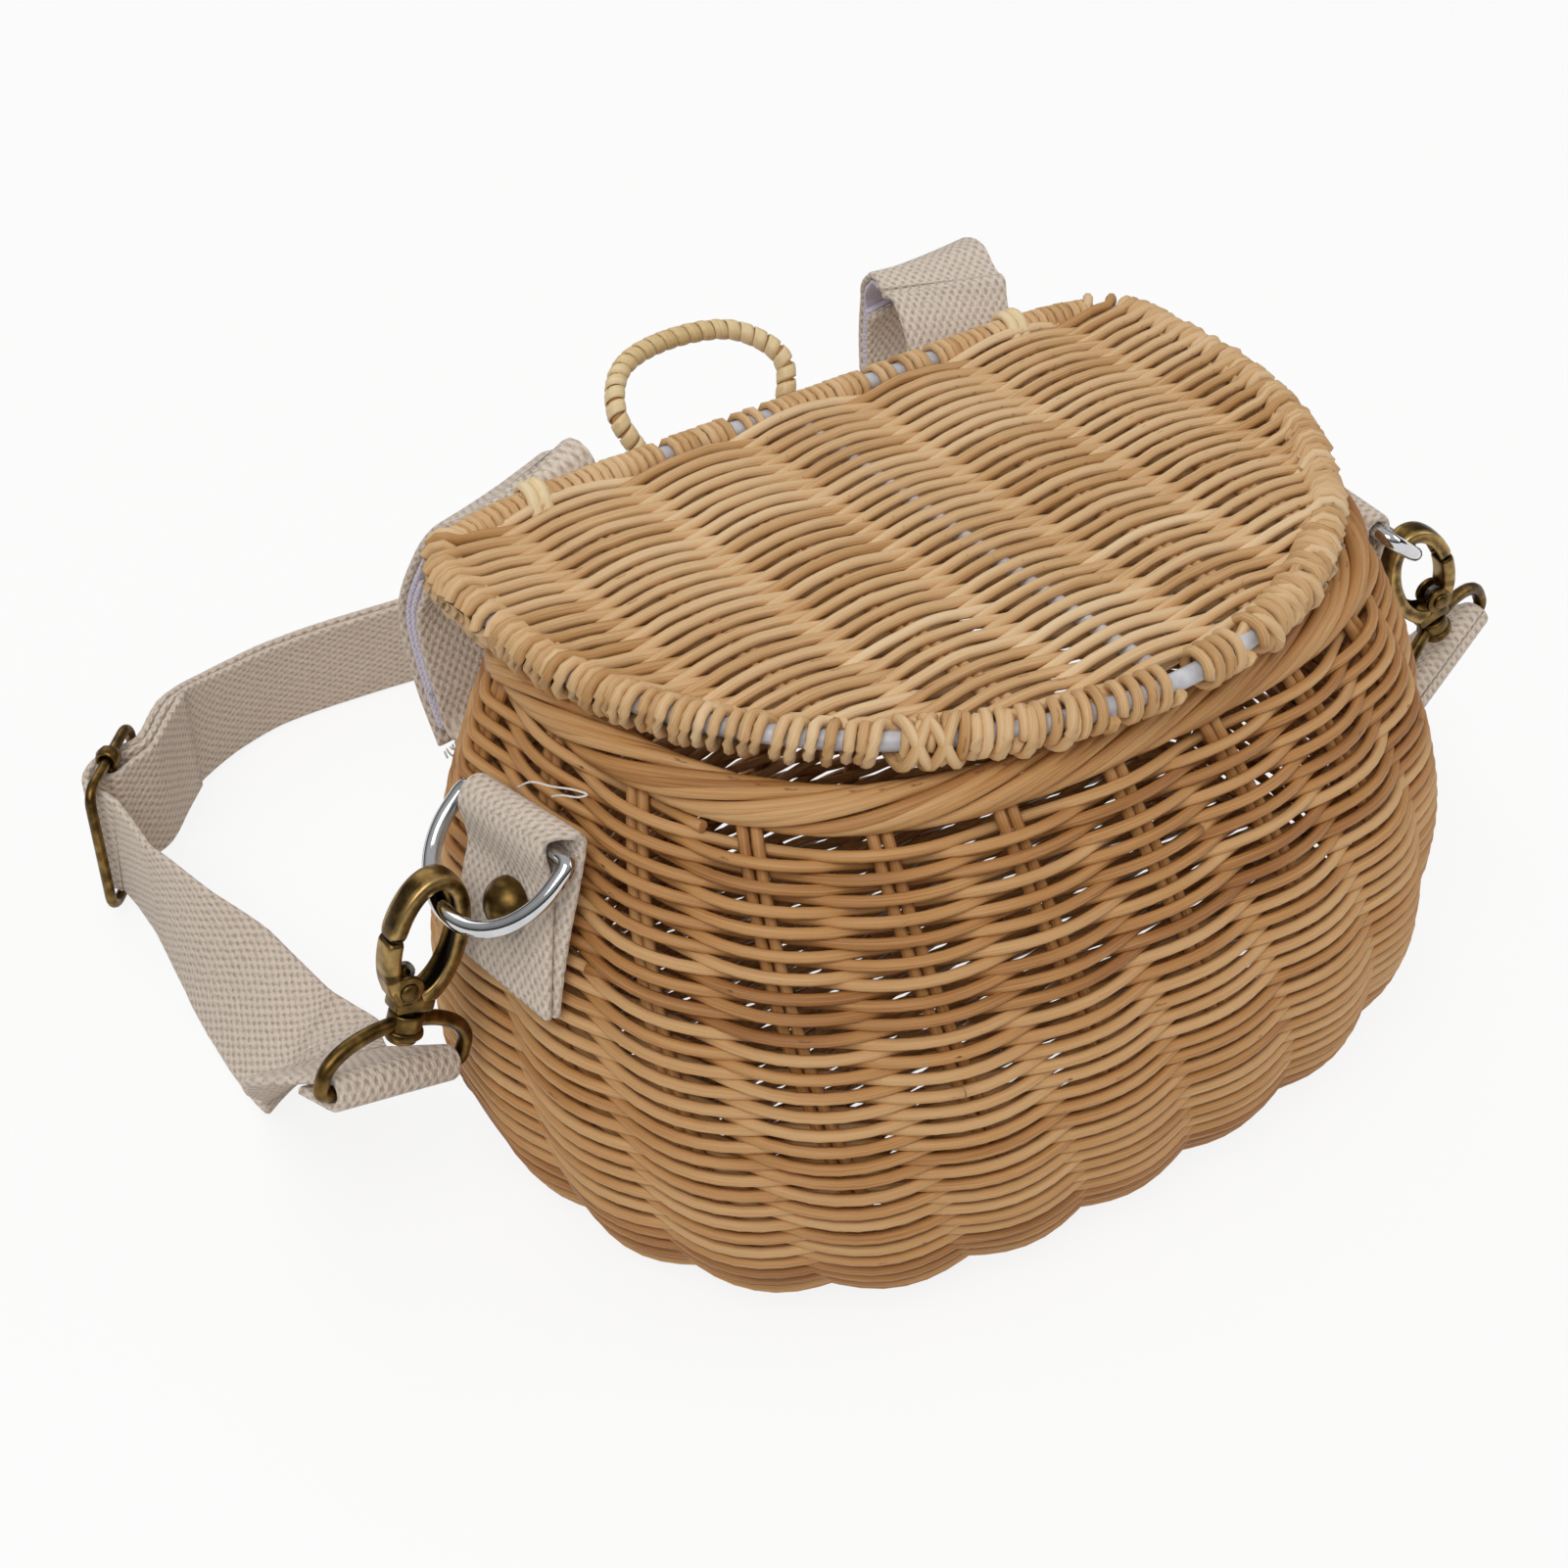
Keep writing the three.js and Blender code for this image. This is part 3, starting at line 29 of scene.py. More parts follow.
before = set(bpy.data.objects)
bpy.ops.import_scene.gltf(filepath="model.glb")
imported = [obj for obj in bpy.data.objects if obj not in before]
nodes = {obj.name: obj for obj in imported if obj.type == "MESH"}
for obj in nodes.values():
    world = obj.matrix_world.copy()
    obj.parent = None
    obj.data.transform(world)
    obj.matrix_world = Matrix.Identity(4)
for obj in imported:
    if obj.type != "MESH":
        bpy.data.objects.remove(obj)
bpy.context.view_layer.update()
rng = np.random.default_rng(21)
MM = 0.001
ACROSS = np.array([1.0, 0.0, 0.0])
BACK = np.array([0.0, 1.0, 0.0])
UP = np.array([0.0, 0.0, 1.0])
CLEAR = 0.3

# Camera, at the photograph's place
CAMERA_AT = (-278.9, -327.4, 398.3)
CAMERA_TO = (-21.18, 31.22, 53.41)
CAMERA_LENS = 57.42
CAMERA_ROLL = math.radians(-0.11)

# Woven body: half-width, reach to the front and reach to the back
WIDEST_Y = 25
BASE = (101, 90, 43)
BELLY = (115, 110.5, 49)
RIM = (94.5, 88.5, 45)
BELLY_Z = 42
NECK_Z = 118
RIM_TOP = 123
RIM_DROP = 2.5
FRONT_POWER = 2.9
BACK_POWER = 1.85
SWELL_POWER = 2.2
WALL = 8
BASE_STICK = 3
STAKES = 21
STAKE_CANE = 2.4
STAKE_APART = 2.7
STAKE_FIRST = math.radians(-89.5)
STAKE_LEAN = math.radians(-0.16)  # per mm of height
STAKE_LEVEL = 70
WEAVER = 2.45
WEAVER_PITCH = 2.0
WEAVER_LAPS = 2.3  # length of one weaver
WEAVE_DEPTH = 2.5
BORDER_WIDTH = 9.5
BORDER_HEIGHT = 10
BORDER_CANE = 2.8
BORDER_REACH = 2.9  # stakes that a border cane passes
BORDER_STRANDS = 3
BORDER_STEP = 0.24  # of a stake, from one strand to the next
BORDER_FROM = -95  # degrees round the border from its outside, where a strand starts
BORDER_TURN = 285

# Carry loop at the back
CARRY_X = -8
CARRY_HALF = 22
CARRY_FOOT_HALF = 18
CARRY_FOOT_DEPTH = 26
CARRY_RISE = 11
CARRY_LEAN = 19
CARRY_CORE = 1.65
CARRY_PEEL = 0.7
CARRY_PEEL_WIDE = 3.1
CARRY_TURNS = 25
CARRY_STAND = 3.8  # the loop's middle line from the rim

# Lid
LID_SIDE = 92
LID_FRONT = 88.5
LID_BACK = 35.5
LID_FRONT_POWER = 2
LID_BACK_POWER = 6.5
LID_Z = 127.5
LID_WIRE = 2
LID_WEAVER = 2.4
LID_PITCH = 2.05
LID_DEPTH = 2.2
LID_ROW_FIRST = 4.2
RIB_PITCH = 29.5
RIB_CANE = 2.4
WHIP_CANE = 1.7
WHIP_CANE_WIDE = 2.2
WHIP_PITCH = 2.3
WHIP_HALF = 84
WHIP_BARE = [-31, -13, -5, 23, 31, 40]  # places of bare wire along the back
WHIP_GAP = 2.4
FRONT_CANE = 2.3
FRONT_PITCH = 2.7
FRONT_RUNS = [(-48, -34), (-33, -15), (-14, -1), (6, 17), (22, 41), (44, 58)]
TIE_X = 63.5
TIE_THICK = 2.1
TIE_WIDE = 3.0
TIE_PITCH = 2.6
TIE_TURNS = 2
TIE_DEPTH = 9
TIE_ROOT = 3.5

# Webbing
WEB_WIDTH = 30
WEB_THICK = 1.8
TAPE_THICK = 1.2
TAPE_WIDTH = 29.2

# Handlebar straps: routes out from the wall and up from the base
BAR_STRAP_X = 55
SLOT_LOW = 84
SLOT_HIGH = 106
FLAP = {
    -1: [(14, 122.8), (21, 118), (28.5, 107), (34.2, 91), (31.5, 73), (26, 57)],
    1: [(22, 130.5), (33, 131), (42.5, 125), (46, 111), (41.5, 96), (32.5, 90)],
}
REACH = {-1: [(2.5, 114), (8, 124.5)], 1: [(5, 117), (12, 126)]}
RETURN = {-1: [(23, 63), (12, 70), (5, 79)], 1: [(28, 91), (17, 85), (8, 84)]}
TAPE_FROM = 0.4  # shares of the flap where the loop tape starts and stops
TAPE_TO = 0.82
LINING_FROM = 0.06  # and where the flap's own lining does
LINING_TO = 0.95
# each flap hangs a little askew: turned about the upright, and its inner edge higher
BAR_TWIST = {-1: math.radians(-14), 1: math.radians(23)}
BAR_TILT = {-1: 0.25, 1: 0}
BAR_EASE = 10  # mm from the wall over which it turns

# Side tabs, D-rings and rivets
SIDES = {-1: "left", 1: "right"}
TAB_Y = -4
TAB_Z = {-1: 87, 1: 82}
TAB_DOWN = 18
TAB_PINCH = 4.3
TAB_LEAN = {-1: 2, 1: 0}
TAB_SLANT = {-1: 0.09, 1: 0}
# a stray thread at the left tab's fold, in the tab's own frame
STRAY = [(2.2, -7, 21), (2.4, -3.5, 24), (1.6, 1.5, 25.5), (0.8, 6.5, 27.3), (0.2, 9.5, 27.8), (0.6, 8, 26.5),
         (1.2, 4, 24.9), (1.2, 1.5, 23.3)]
STRAY_THREAD = 0.45
RING_BAR_Z = 16
RING_WIRE = 1.75
RING_HALF = 16.2
RING_DEPTH = 22
RING_STRAIGHT = 5
RING_SHIFT = -3
RING_CORNER = 2.2
RING_SWING = {-1: math.radians(32), 1: math.radians(36)}
RIVET_HEAD = 5.3
RIVET_SHANK = 1.6
RIVET_TAIL = 2.6  # the hammered end inside
RIVET_DOME = 4.9

# Snap hooks and strap loops
HOOK_AT = -6.5
HOOK_LEAN = {-1: math.radians(20), 1: math.radians(26)}
HOOK_ROLL = math.radians(-6)
HOOK_WIDE = 5.6
HOOK_BAND = 3.2
HOOK_MIDDLE = 16.05  # middle of the oval above the hook's foot
HOOK_OVAL = (7.1, 13.35)  # half-width and half-height to the middle of the band
EYE_SEAT = 25.4
EYE_SIDE = 0.4
GATE_PIVOT = (-2.3, 5.6)
GATE_CHEEK = 3.4
GATE_CHEEK_THICK = 1.1
PIN = 1.2
PIN_HEAD = 2
COLLAR = 4
COLLAR_TALL = 5
LOOP_WIRE = 1.6
LOOP_WIDE = 17.4
LOOP_BAR = 16
LOOP_STRAIGHT = 4
LOOP_CORNER = 2
LOOP_TURN = {-1: math.radians(8), 1: math.radians(22)}

# Light: the share of white that the paper gives back by itself, the room's strength, and the lamps' places
# in metres, widths in metres and watts
PAPER_GLOW = 0.86
ROOM_LIGHT = 0.55
LAMPS = {
    "key": ((-0.75, -0.6, 1.3), 0.9, 10.5),
    "fill": ((1.2, -0.7, 0.8), 1.0, 4),
    "back": ((0.1, 1.2, 1.1), 1.0, 4),
}
LAMP_AIM = (0, 0.03, 0.06)

# Shoulder strap: points of its middle line and its tilt, 0 lying flat and 90 standing on edge
STRAP_LEFT = [
    (-133.2, 47, 19, 14), (-133.5, 58, 13, 40), (-134, 72, 12.2, 46), (-134.5, 86, 13.2, 55),
    (-136.6, 101, 15.6, 74), (-138, 122, 18, 90),
]
STRAP_BACK = [
    (-103, 174, 17.5, 86), (-89, 180.5, 16, 80), (-74, 183.8, 15.4, 77), (-43, 182, 15.2, 77),
    (-4, 176, 15.3, 80), (40, 164, 15.5, 86), (84, 140, 15.5, 90), (119, 104, 15.5, 88),
    (137, 72, 15, 72), (146, 42, 15.5, 45), (149.5, 16, 25, 20),
]
SLIDER_AT = (-134, 148.5, 21)
SLIDER_HEADING = math.radians(47)
SLIDER_HALF = 14
SLIDER_TALL = 17.7
SLIDER_WIRE = 1.3
SLIDER_CORNER = 4
SLIDER_CURL = 0.8
SLIDER_OUTER = [(-10.2, -3.2), (-8.6, 1.2), (-5.2, 4.4), (0, 5.1), (4.6, 3.8), (8.2, 0.5), (11.5, -2.2),
                (15, -2.9), (20, -2.8)]
SLIDER_INNER = [(20, -4.9), (15, -5), (10.4, -4.2), (6.3, -1.1), (3.1, 1.9), (0, 2.9), (-2.05, 2.05),
                (-2.9, 0), (-2.05, -2.05), (0, -2.9), (4, -4.6), (8.5, -6.6), (14, -7.15), (20, -7.05),
                (32, -7.3)]
SEWN_TAIL = 24
SEWN_REACH = 10  # of the cut end, hidden under the strap
LAYERS_PART = 0.9
LAYERS_PART_OVER = 8 / 3  # spans of the route
BAR_FOLD = LOOP_WIRE + CLEAR + WEB_THICK / 2
LAYER = WEB_THICK + CLEAR


# Mesh tools

def unit(v):
    return v / np.linalg.norm(v, axis=-1, keepdims=True)


def oval(across, through, sides):
    angle = 2 * np.pi * (np.arange(sides) + 0.5) / sides
    return np.stack([across / 2 * np.cos(angle), through / 2 * np.sin(angle)], -1)


def rounded(width, thick, radius, steps):
    corners = []
    for k, (sx, sy) in enumerate([(1, 1), (-1, 1), (-1, -1), (1, -1)]):
        angle = np.pi / 2 * (k + np.arange(steps + 1) / steps)
        centre = [sx * (width / 2 - radius), sy * (thick / 2 - radius)]
        corners.append(centre + radius * np.stack([np.cos(angle), np.sin(angle)], -1))
    return np.concatenate(corners)


def spline(points, per_span):
    """A smooth line through points, centripetal so that it doesn't overshoot."""
    p = np.asarray(points, float)
    p = np.vstack([2 * p[0] - p[1], p, 2 * p[-1] - p[-2]])
    made = []
    for a, b, c, d in zip(p, p[1:], p[2:], p[3:]):
        t1 = max(np.linalg.norm(b - a), 1e-6) ** 0.5
        t2 = t1 + max(np.linalg.norm(c - b), 1e-6) ** 0.5
        t3 = t2 + max(np.linalg.norm(d - c), 1e-6) ** 0.5
        t = np.linspace(t1, t2, per_span, endpoint=False)[:, None]
        ab = a + (b - a) * t / t1
        bc = b + (c - b) * (t - t1) / (t2 - t1)
        cd = c + (d - c) * (t - t2) / (t3 - t2)
        abc = ab + (bc - ab) * t / t2
        bcd = bc + (cd - bc) * (t - t1) / (t3 - t1)
        made.append(abc + (bcd - abc) * (t - t1) / (t2 - t1))
    return np.vstack([*made, p[-2:-1]])


def lengths(path):
    return np.concatenate([[0], np.cumsum(np.linalg.norm(np.diff(path, axis=0), axis=1))])


def along_line(path, at):
    """Points at given runs along a line, with whatever columns it has."""
    run = lengths(path[:, :3])
    return np.stack([np.interp(at, run, path[:, k]) for k in range(path.shape[1])], -1)


def respaced(path, count):
    return along_line(path, np.linspace(0, lengths(path[:, :3])[-1], count))


def directions(path, closed=False):
    if closed:
        return unit(np.roll(path, -1, 0) - np.roll(path, 1, 0))
    return unit(np.gradient(path, axis=0))


def sweep(path, normal, section, closed=False):
    """Rings of a section carried along a line; normal is the section's first axis."""
    along = directions(path, closed)
    normal = np.broadcast_to(normal, path.shape)
    side = unit(normal - along * np.sum(normal * along, -1, keepdims=True))
    up = np.cross(along, side)
    section = np.broadcast_to(section, (len(path), *np.shape(section)[-2:]))
    rings = path[:, None] + section[..., :1] * side[:, None] + section[..., 1:] * up[:, None]
    return rings, closed


def set_in(tube, place):
    """A tube moved from its own frame to its place."""
    rings, closed = tube
    turn = np.array(place)
    return rings @ turn[:3, :3].T + turn[:3, 3], closed


def tube_faces(rings, closed):
    """A tube's face corners, its corners per face and its UVs, in mm along and round it."""
    n, m = rings.shape[:2]
    rows = n if closed else n - 1
    i = np.arange(rows)[:, None]
    j = np.arange(m)[None, :]
    k = (j + 1) % m
    quads = np.stack([i * m + j, i * m + k, (i + 1) % n * m + k, (i + 1) % n * m + j], -1)
    middle = rings.mean(1)
    run = lengths(np.vstack([middle, middle[:1]]) if closed else middle)
    girth = lengths(np.vstack([rings[0], rings[0][:1]]))
    u = np.stack(np.broadcast_arrays(run[i], run[i], run[i + 1], run[i + 1]), -1)
    v = np.stack(np.broadcast_arrays(girth[j], girth[j + 1], girth[j + 1], girth[j]), -1)
    u, v = np.broadcast_arrays(u, v)
    corners = [quads.reshape(-1)]
    totals = [np.full(rows * m, 4)]
    uvs = [np.stack([u.reshape(-1), v.reshape(-1)], -1)]
    if not closed:
        for cap, end in ((np.arange(m)[::-1], 0), ((n - 1) * m + np.arange(m), -1)):
            corners.append(cap)
            totals.append(np.array([m]))
            uvs.append(np.stack([np.full(m, run[end]), girth[:m]], -1))
    return np.concatenate(corners), np.concatenate(totals), np.concatenate(uvs)


def tube_shade(tone, rings):
    """Tone at every point, from one for the tube, one for each ring or one for each corner of the section."""
    n, m = rings.shape[:2]
    tone = np.asarray(tone, float)
    return np.broadcast_to(tone[:, None] if tone.shape == (n,) else tone, (n, m)).reshape(-1)


def piece(name, tubes, finish, body, tones=None):
    """One object from tubes, riding on a body."""
    faces = [tube_faces(*tube) for tube in tubes]
    points = [rings.reshape(-1, 3) for rings, _ in tubes]
    starts = np.cumsum([0, *map(len, points)])
    loops = np.concatenate([start + corners for start, (corners, _, _) in zip(starts, faces)])
    totals = np.concatenate([sizes for _, sizes, _ in faces])
    uvs = np.concatenate([places for _, _, places in faces])
    tones = [0.5] * len(tubes) if tones is None else tones
    shade = np.concatenate([tube_shade(tone, rings) for tone, (rings, _) in zip(tones, tubes)])
    points = np.concatenate(points) * MM
    mesh = bpy.data.meshes.new(name)
    mesh.vertices.add(len(points))
    mesh.vertices.foreach_set("co", points.astype(np.float32).ravel())
    mesh.loops.add(len(loops))
    mesh.loops.foreach_set("vertex_index", loops.astype(np.int32))
    mesh.polygons.add(len(totals))
    mesh.polygons.foreach_set("loop_start", (np.cumsum(totals) - totals).astype(np.int32))
    mesh.polygons.foreach_set("loop_total", totals.astype(np.int32))
    mesh.update(calc_edges=True)
    layer = mesh.uv_layers.new(name="UVMap")
    layer.data.foreach_set("uv", uvs.astype(np.float32).ravel())
    shades = mesh.attributes.new("tone", "FLOAT", "POINT")
    shades.data.foreach_set("value", shade.astype(np.float32))
    mesh.polygons.foreach_set("use_smooth", totals < 5)
    mesh.materials.append(finish)
    made = bpy.data.objects.new(name, mesh)
    bpy.context.scene.collection.objects.link(made)
    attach(made, body)
    return made


# Materials

def linear(colour):
    parts = [int(colour[k:k + 2], 16) / 255 for k in (1, 3, 5)]
    return [*[c / 12.92 if c <= 0.04045 else ((c + 0.055) / 1.055) ** 2.4 for c in parts], 1]


def add(tree, kind, inputs, **settings):
    """Adds a node with its settings; an input is a value or the socket that it comes from."""
    made = tree.nodes.new(kind)
    for name, value in settings.items():
        setattr(made, name, value)
    for name, value in inputs.items():
        if isinstance(value, bpy.types.NodeSocket):
            tree.links.new(value, made.inputs[name])
        else:
            made.inputs[name].default_value = value
    return made


def new_finish(name, **constants):
    """A material and its shader, with what is the same all over set on the shader's own sockets."""
    made = bpy.data.materials.new(name)
    made.use_nodes = True
    shader = made.node_tree.nodes["Principled BSDF"]
    for socket, value in constants.items():
        shader.inputs[socket.replace("_", " ")].default_value = value
    return made, made.node_tree, shader


def stops(ramp, *colours):
    """Sets a colour ramp's places and colours."""
    elements = ramp.color_ramp.elements
    while len(elements) < len(colours):
        elements.new(0.5)
    for element, (place, colour) in zip(elements, colours):
        element.position = place
        element.color = colour
    return ramp


def cane_finish(name, dark, middle, pale, fleck, roughness):
    # Peeled rattan: a dry honey-coloured wood with a slight gloss, streaked along its fibres, its lengths
    # of different shades, with brown stains and flecks where the peel was scraped
    made, tree, shader = new_finish(name, IOR=1.5)
    uv = add(tree, "ShaderNodeUVMap", {}, uv_map="UVMap").outputs[0]
    tone = add(tree, "ShaderNodeAttribute", {}, attribute_name="tone").outputs["Fac"]
    # fibres about 0.35 mm wide and 25 mm long
    along = add(tree, "ShaderNodeMapping", {"Vector": uv, "Scale": (0.04, 2.8, 1)}).outputs[0]
    fibre = add(tree, "ShaderNodeTexNoise", {"Vector": along, "Scale": 1.0, "Detail": 3.0}).outputs["Fac"]
    # stains about 40 mm long
    wide = add(tree, "ShaderNodeMapping", {"Vector": uv, "Scale": (0.025, 0.25, 1)}).outputs[0]
    stain = add(tree, "ShaderNodeTexNoise", {"Vector": wide, "Scale": 1.0, "Detail": 2.0}).outputs["Fac"]
    shade = add(tree, "ShaderNodeMath", {0: fibre, 1: 1.0, 2: -0.65}, operation="MULTIPLY_ADD").outputs[0]
    shade = add(tree, "ShaderNodeMath", {0: stain, 1: 0.7, 2: shade}, operation="MULTIPLY_ADD").outputs[0]
    shade = add(tree, "ShaderNodeMath", {0: tone, 1: 0.6, 2: shade}, operation="MULTIPLY_ADD").outputs[0]
    ramp = stops(add(tree, "ShaderNodeValToRGB", {"Fac": shade}),
                 (0.1, linear(dark)), (0.5, linear(middle)), (0.9, linear(pale))).outputs["Color"]
    # flecks 2 to 5 mm long
    spots = add(tree, "ShaderNodeMapping", {"Vector": uv, "Scale": (0.18, 0.5, 1)}).outputs[0]
    spot = add(tree, "ShaderNodeTexNoise", {"Vector": spots, "Scale": 1.0, "Detail": 4.0}).outputs["Fac"]
    mask = stops(add(tree, "ShaderNodeValToRGB", {"Fac": spot}),
                 (0.69, (0, 0, 0, 1)), (0.76, (1, 1, 1, 1))).outputs["Color"]
    colour = add(tree, "ShaderNodeMix", {"Factor": mask, 6: ramp, 7: linear(fleck)}, data_type="RGBA")
    tree.links.new(colour.outputs[2], shader.inputs["Base Color"])
    rough = add(tree, "ShaderNodeMapRange", {"Value": fibre, 3: roughness - 0.12, 4: roughness + 0.12})
    tree.links.new(rough.outputs[0], shader.inputs["Roughness"])
    bump = add(tree, "ShaderNodeBump", {"Height": fibre, "Strength": 0.35, "Distance": 0.0004})
    tree.links.new(bump.outputs[0], shader.inputs["Normal"])
    return made


def webbing_finish(name, thread, painted_gap_shade, cord_mm, float_mm, depth):
    # Heavy woven cotton: soft unbleached cords that come up in staggered floats, with painted shade darkening
    # the corners between them, a little uneven and fuzzy, with a few seed specks
    made, tree, shader = new_finish(name, IOR=1.45, Roughness=0.92, Sheen_Weight=0.2, Sheen_Roughness=0.5)
    uv = add(tree, "ShaderNodeUVMap", {}, uv_map="UVMap").outputs[0]
    # threads wander by about a quarter of a millimetre
    sway = add(tree, "ShaderNodeTexNoise", {"Vector": uv, "Scale": 0.35, "Detail": 1.0}).outputs["Color"]
    moved = add(tree, "ShaderNodeVectorMath", {0: sway, 1: (0.6, 0.6, 0), 2: uv}, operation="MULTIPLY_ADD")
    axes = add(tree, "ShaderNodeSeparateXYZ", {0: moved.outputs[0]}).outputs
    waves = []
    for axis, size in ((axes[1], cord_mm), (axes[0], float_mm)):
        part = add(tree, "ShaderNodeMath", {0: axis, 1: math.pi / size}, operation="MULTIPLY").outputs[0]
        waves.append(add(tree, "ShaderNodeMath", {0: part}, operation="COSINE").outputs[0])
    crown = add(tree, "ShaderNodeMath", {0: waves[0], 1: waves[1]}, operation="MULTIPLY").outputs[0]
    # fuzz about half a millimetre across
    fuzz = add(tree, "ShaderNodeTexNoise", {"Vector": uv, "Scale": 1.6, "Detail": 4.0}).outputs["Fac"]
    level = add(tree, "ShaderNodeMath", {0: crown, 1: 0.35, 2: fuzz}, operation="MULTIPLY_ADD").outputs[0]
    # painted shade: the colour darkens to the gap colour where the floats dip between the cords
    yarn = stops(add(tree, "ShaderNodeValToRGB", {"Fac": level}), (0.1, linear(painted_gap_shade)), (0.58, linear(thread)))
    # seed specks about a millimetre across
    seed = add(tree, "ShaderNodeTexNoise", {"Vector": uv, "Scale": 0.55, "Detail": 3.0}).outputs["Fac"]
    mask = stops(add(tree, "ShaderNodeValToRGB", {"Fac": seed}),
                 (0.735, (0, 0, 0, 1)), (0.77, (0.6, 0.6, 0.6, 1))).outputs["Color"]
    colour = add(tree, "ShaderNodeMix", {"Factor": mask, 6: yarn.outputs["Color"], 7: linear("#8f7a5c")},
                 data_type="RGBA")
    tree.links.new(colour.outputs[2], shader.inputs["Base Color"])
    bump = add(tree, "ShaderNodeBump", {"Height": level, "Strength": depth, "Distance": 0.0006})
    tree.links.new(bump.outputs[0], shader.inputs["Normal"])
    return made


def brass_finish():
    # Antique brass: a brown-black patina, mottled, rubbed to bright yellow metal along the
    # edges, with painted shade darkening its hollows nearly to black
    made, tree, shader = new_finish("antique_brass", Metallic=1.0)
    place = add(tree, "ShaderNodeTexCoord", {}).outputs["Object"]
    # mottling about 3 mm across and grit about 0.5 mm across
    mottle = add(tree, "ShaderNodeTexNoise", {"Vector": place, "Scale": 330.0, "Detail": 4.0}).outputs["Fac"]
    grit = add(tree, "ShaderNodeTexNoise", {"Vector": place, "Scale": 2000.0, "Detail": 2.0}).outputs["Fac"]
    patina = stops(add(tree, "ShaderNodeValToRGB", {"Fac": mottle}),
                   (0.32, linear("#45351c")), (0.52, linear("#6a522b")), (0.72, linear("#8d7040")))
    tone = add(tree, "ShaderNodeAttribute", {}, attribute_name="tone").outputs["Fac"]
    rubbed = add(tree, "ShaderNodeMath", {0: mottle, 1: 0.6, 2: -0.3}, operation="MULTIPLY_ADD").outputs[0]
    rubbed = add(tree, "ShaderNodeMath", {0: tone, 1: rubbed}, operation="ADD").outputs[0]
    rubbed = add(tree, "ShaderNodeMapRange", {"Value": rubbed, 1: 0.35, 2: 0.85}).outputs[0]
    colour = add(tree, "ShaderNodeMix",
                 {"Factor": rubbed, 6: patina.outputs["Color"], 7: linear("#c3a268")}, data_type="RGBA")
    # painted shade: where the tone falls below zero, in the band's hollow, the colour goes nearly black
    painted_hollow_shade = add(tree, "ShaderNodeMapRange", {"Value": tone, 1: -0.1, 2: -0.7}).outputs[0]
    colour = add(tree, "ShaderNodeMix",
                 {"Factor": painted_hollow_shade, 6: colour.outputs[2], 7: linear("#1d150b")}, data_type="RGBA")
    tree.links.new(colour.outputs[2], shader.inputs["Base Color"])
    rough = add(tree, "ShaderNodeMapRange", {"Value": grit, 3: 0.26, 4: 0.44})
    tree.links.new(rough.outputs[0], shader.inputs["Roughness"])
    bump = add(tree, "ShaderNodeBump", {"Height": grit, "Strength": 0.08, "Distance": 0.0001})
    tree.links.new(bump.outputs[0], shader.inputs["Normal"])
    return made


def smooth_finish(name, low, high, rough_low, rough_high, grain_mm, **constants):
    # Chrome plate or a stoved white coat: even and smooth, with faint clouding at grain_mm
    made, tree, shader = new_finish(name, **constants)
    place = add(tree, "ShaderNodeTexCoord", {}).outputs["Object"]
    cloud = add(tree, "ShaderNodeTexNoise", {"Vector": place, "Scale": 1000 / grain_mm, "Detail": 5.0})
    colours = stops(add(tree, "ShaderNodeValToRGB", {"Fac": cloud.outputs["Fac"]}),
                    (0.35, linear(low)), (0.68, linear(high)))
    tree.links.new(colours.outputs["Color"], shader.inputs["Base Color"])
    rough = add(tree, "ShaderNodeMapRange", {"Value": cloud.outputs["Fac"], 3: rough_low, 4: rough_high})
    tree.links.new(rough.outputs[0], shader.inputs["Roughness"])
    bump = add(tree, "ShaderNodeBump", {"Height": cloud.outputs["Fac"], "Strength": 0.05, "Distance": 0.0002})
    tree.links.new(bump.outputs[0], shader.inputs["Normal"])
    return made


body_cane = cane_finish("rattan_honey", "#98622f", "#c08c52", "#d3a873", "#65391a", 0.55)
lid_cane = cane_finish("rattan_pale", "#b5854c", "#d8b180", "#e8cba1", "#85552a", 0.53)
cane_peel = cane_finish("cane_peel", "#cdab70", "#e3c793", "#efdab2", "#b08a50", 0.36)
webbing = webbing_finish("cotton_webbing", "#e4d5c6", "#b39e86", 1.1, 1.6, 0.9)
tape = webbing_finish("loop_pile_tape", "#dfd8e6", "#bdb5c9", 0.7, 0.7, 0.5)
thread = webbing_finish("sewing_thread", "#eee8e0", "#d5ccc0", 0.3, 0.8, 0.3)
chrome = smooth_finish("chromed_steel", "#c4c5c7", "#d8d8d9", 0.04, 0.1, 6, Metallic=1.0)
coated_wire = smooth_finish("white_coated_wire", "#b6b6bc", "#d2d2d6", 0.3, 0.45, 4, IOR=1.5)
spring_steel = smooth_finish("spring_steel", "#5c5a57", "#8a8884", 0.25, 0.4, 2, Metallic=1.0)
brass = brass_finish()


# Woven body

def plan(angle, side, front, back):
    c, s = np.cos(angle), np.sin(angle)
    power = np.where(s < 0, FRONT_POWER, BACK_POWER)
    reach = (np.abs(c) ** power + np.abs(s) ** power) ** (-1 / power)
    return side * reach * c, WIDEST_Y + np.where(s < 0, front, back) * reach * s


def fall(z, y):
    """A height of the body as it falls towards the front."""
    share = (WIDEST_Y + RIM[2] - y) / (RIM[2] + RIM[1])
    return z * (1 - RIM_DROP / RIM_TOP * share)


def swell(z, k):
    under = 1 - np.minimum(z, BELLY_Z) / BELLY_Z
    low = BASE[k] + (BELLY[k] - BASE[k]) * np.sqrt(np.clip(1 - under ** SWELL_POWER, 0, 1))
    high = BELLY[k] + (RIM[k] - BELLY[k]) * ((z - BELLY_Z) / (NECK_Z - BELLY_Z)) ** 2
    return np.where(z < BELLY_Z, low, high)


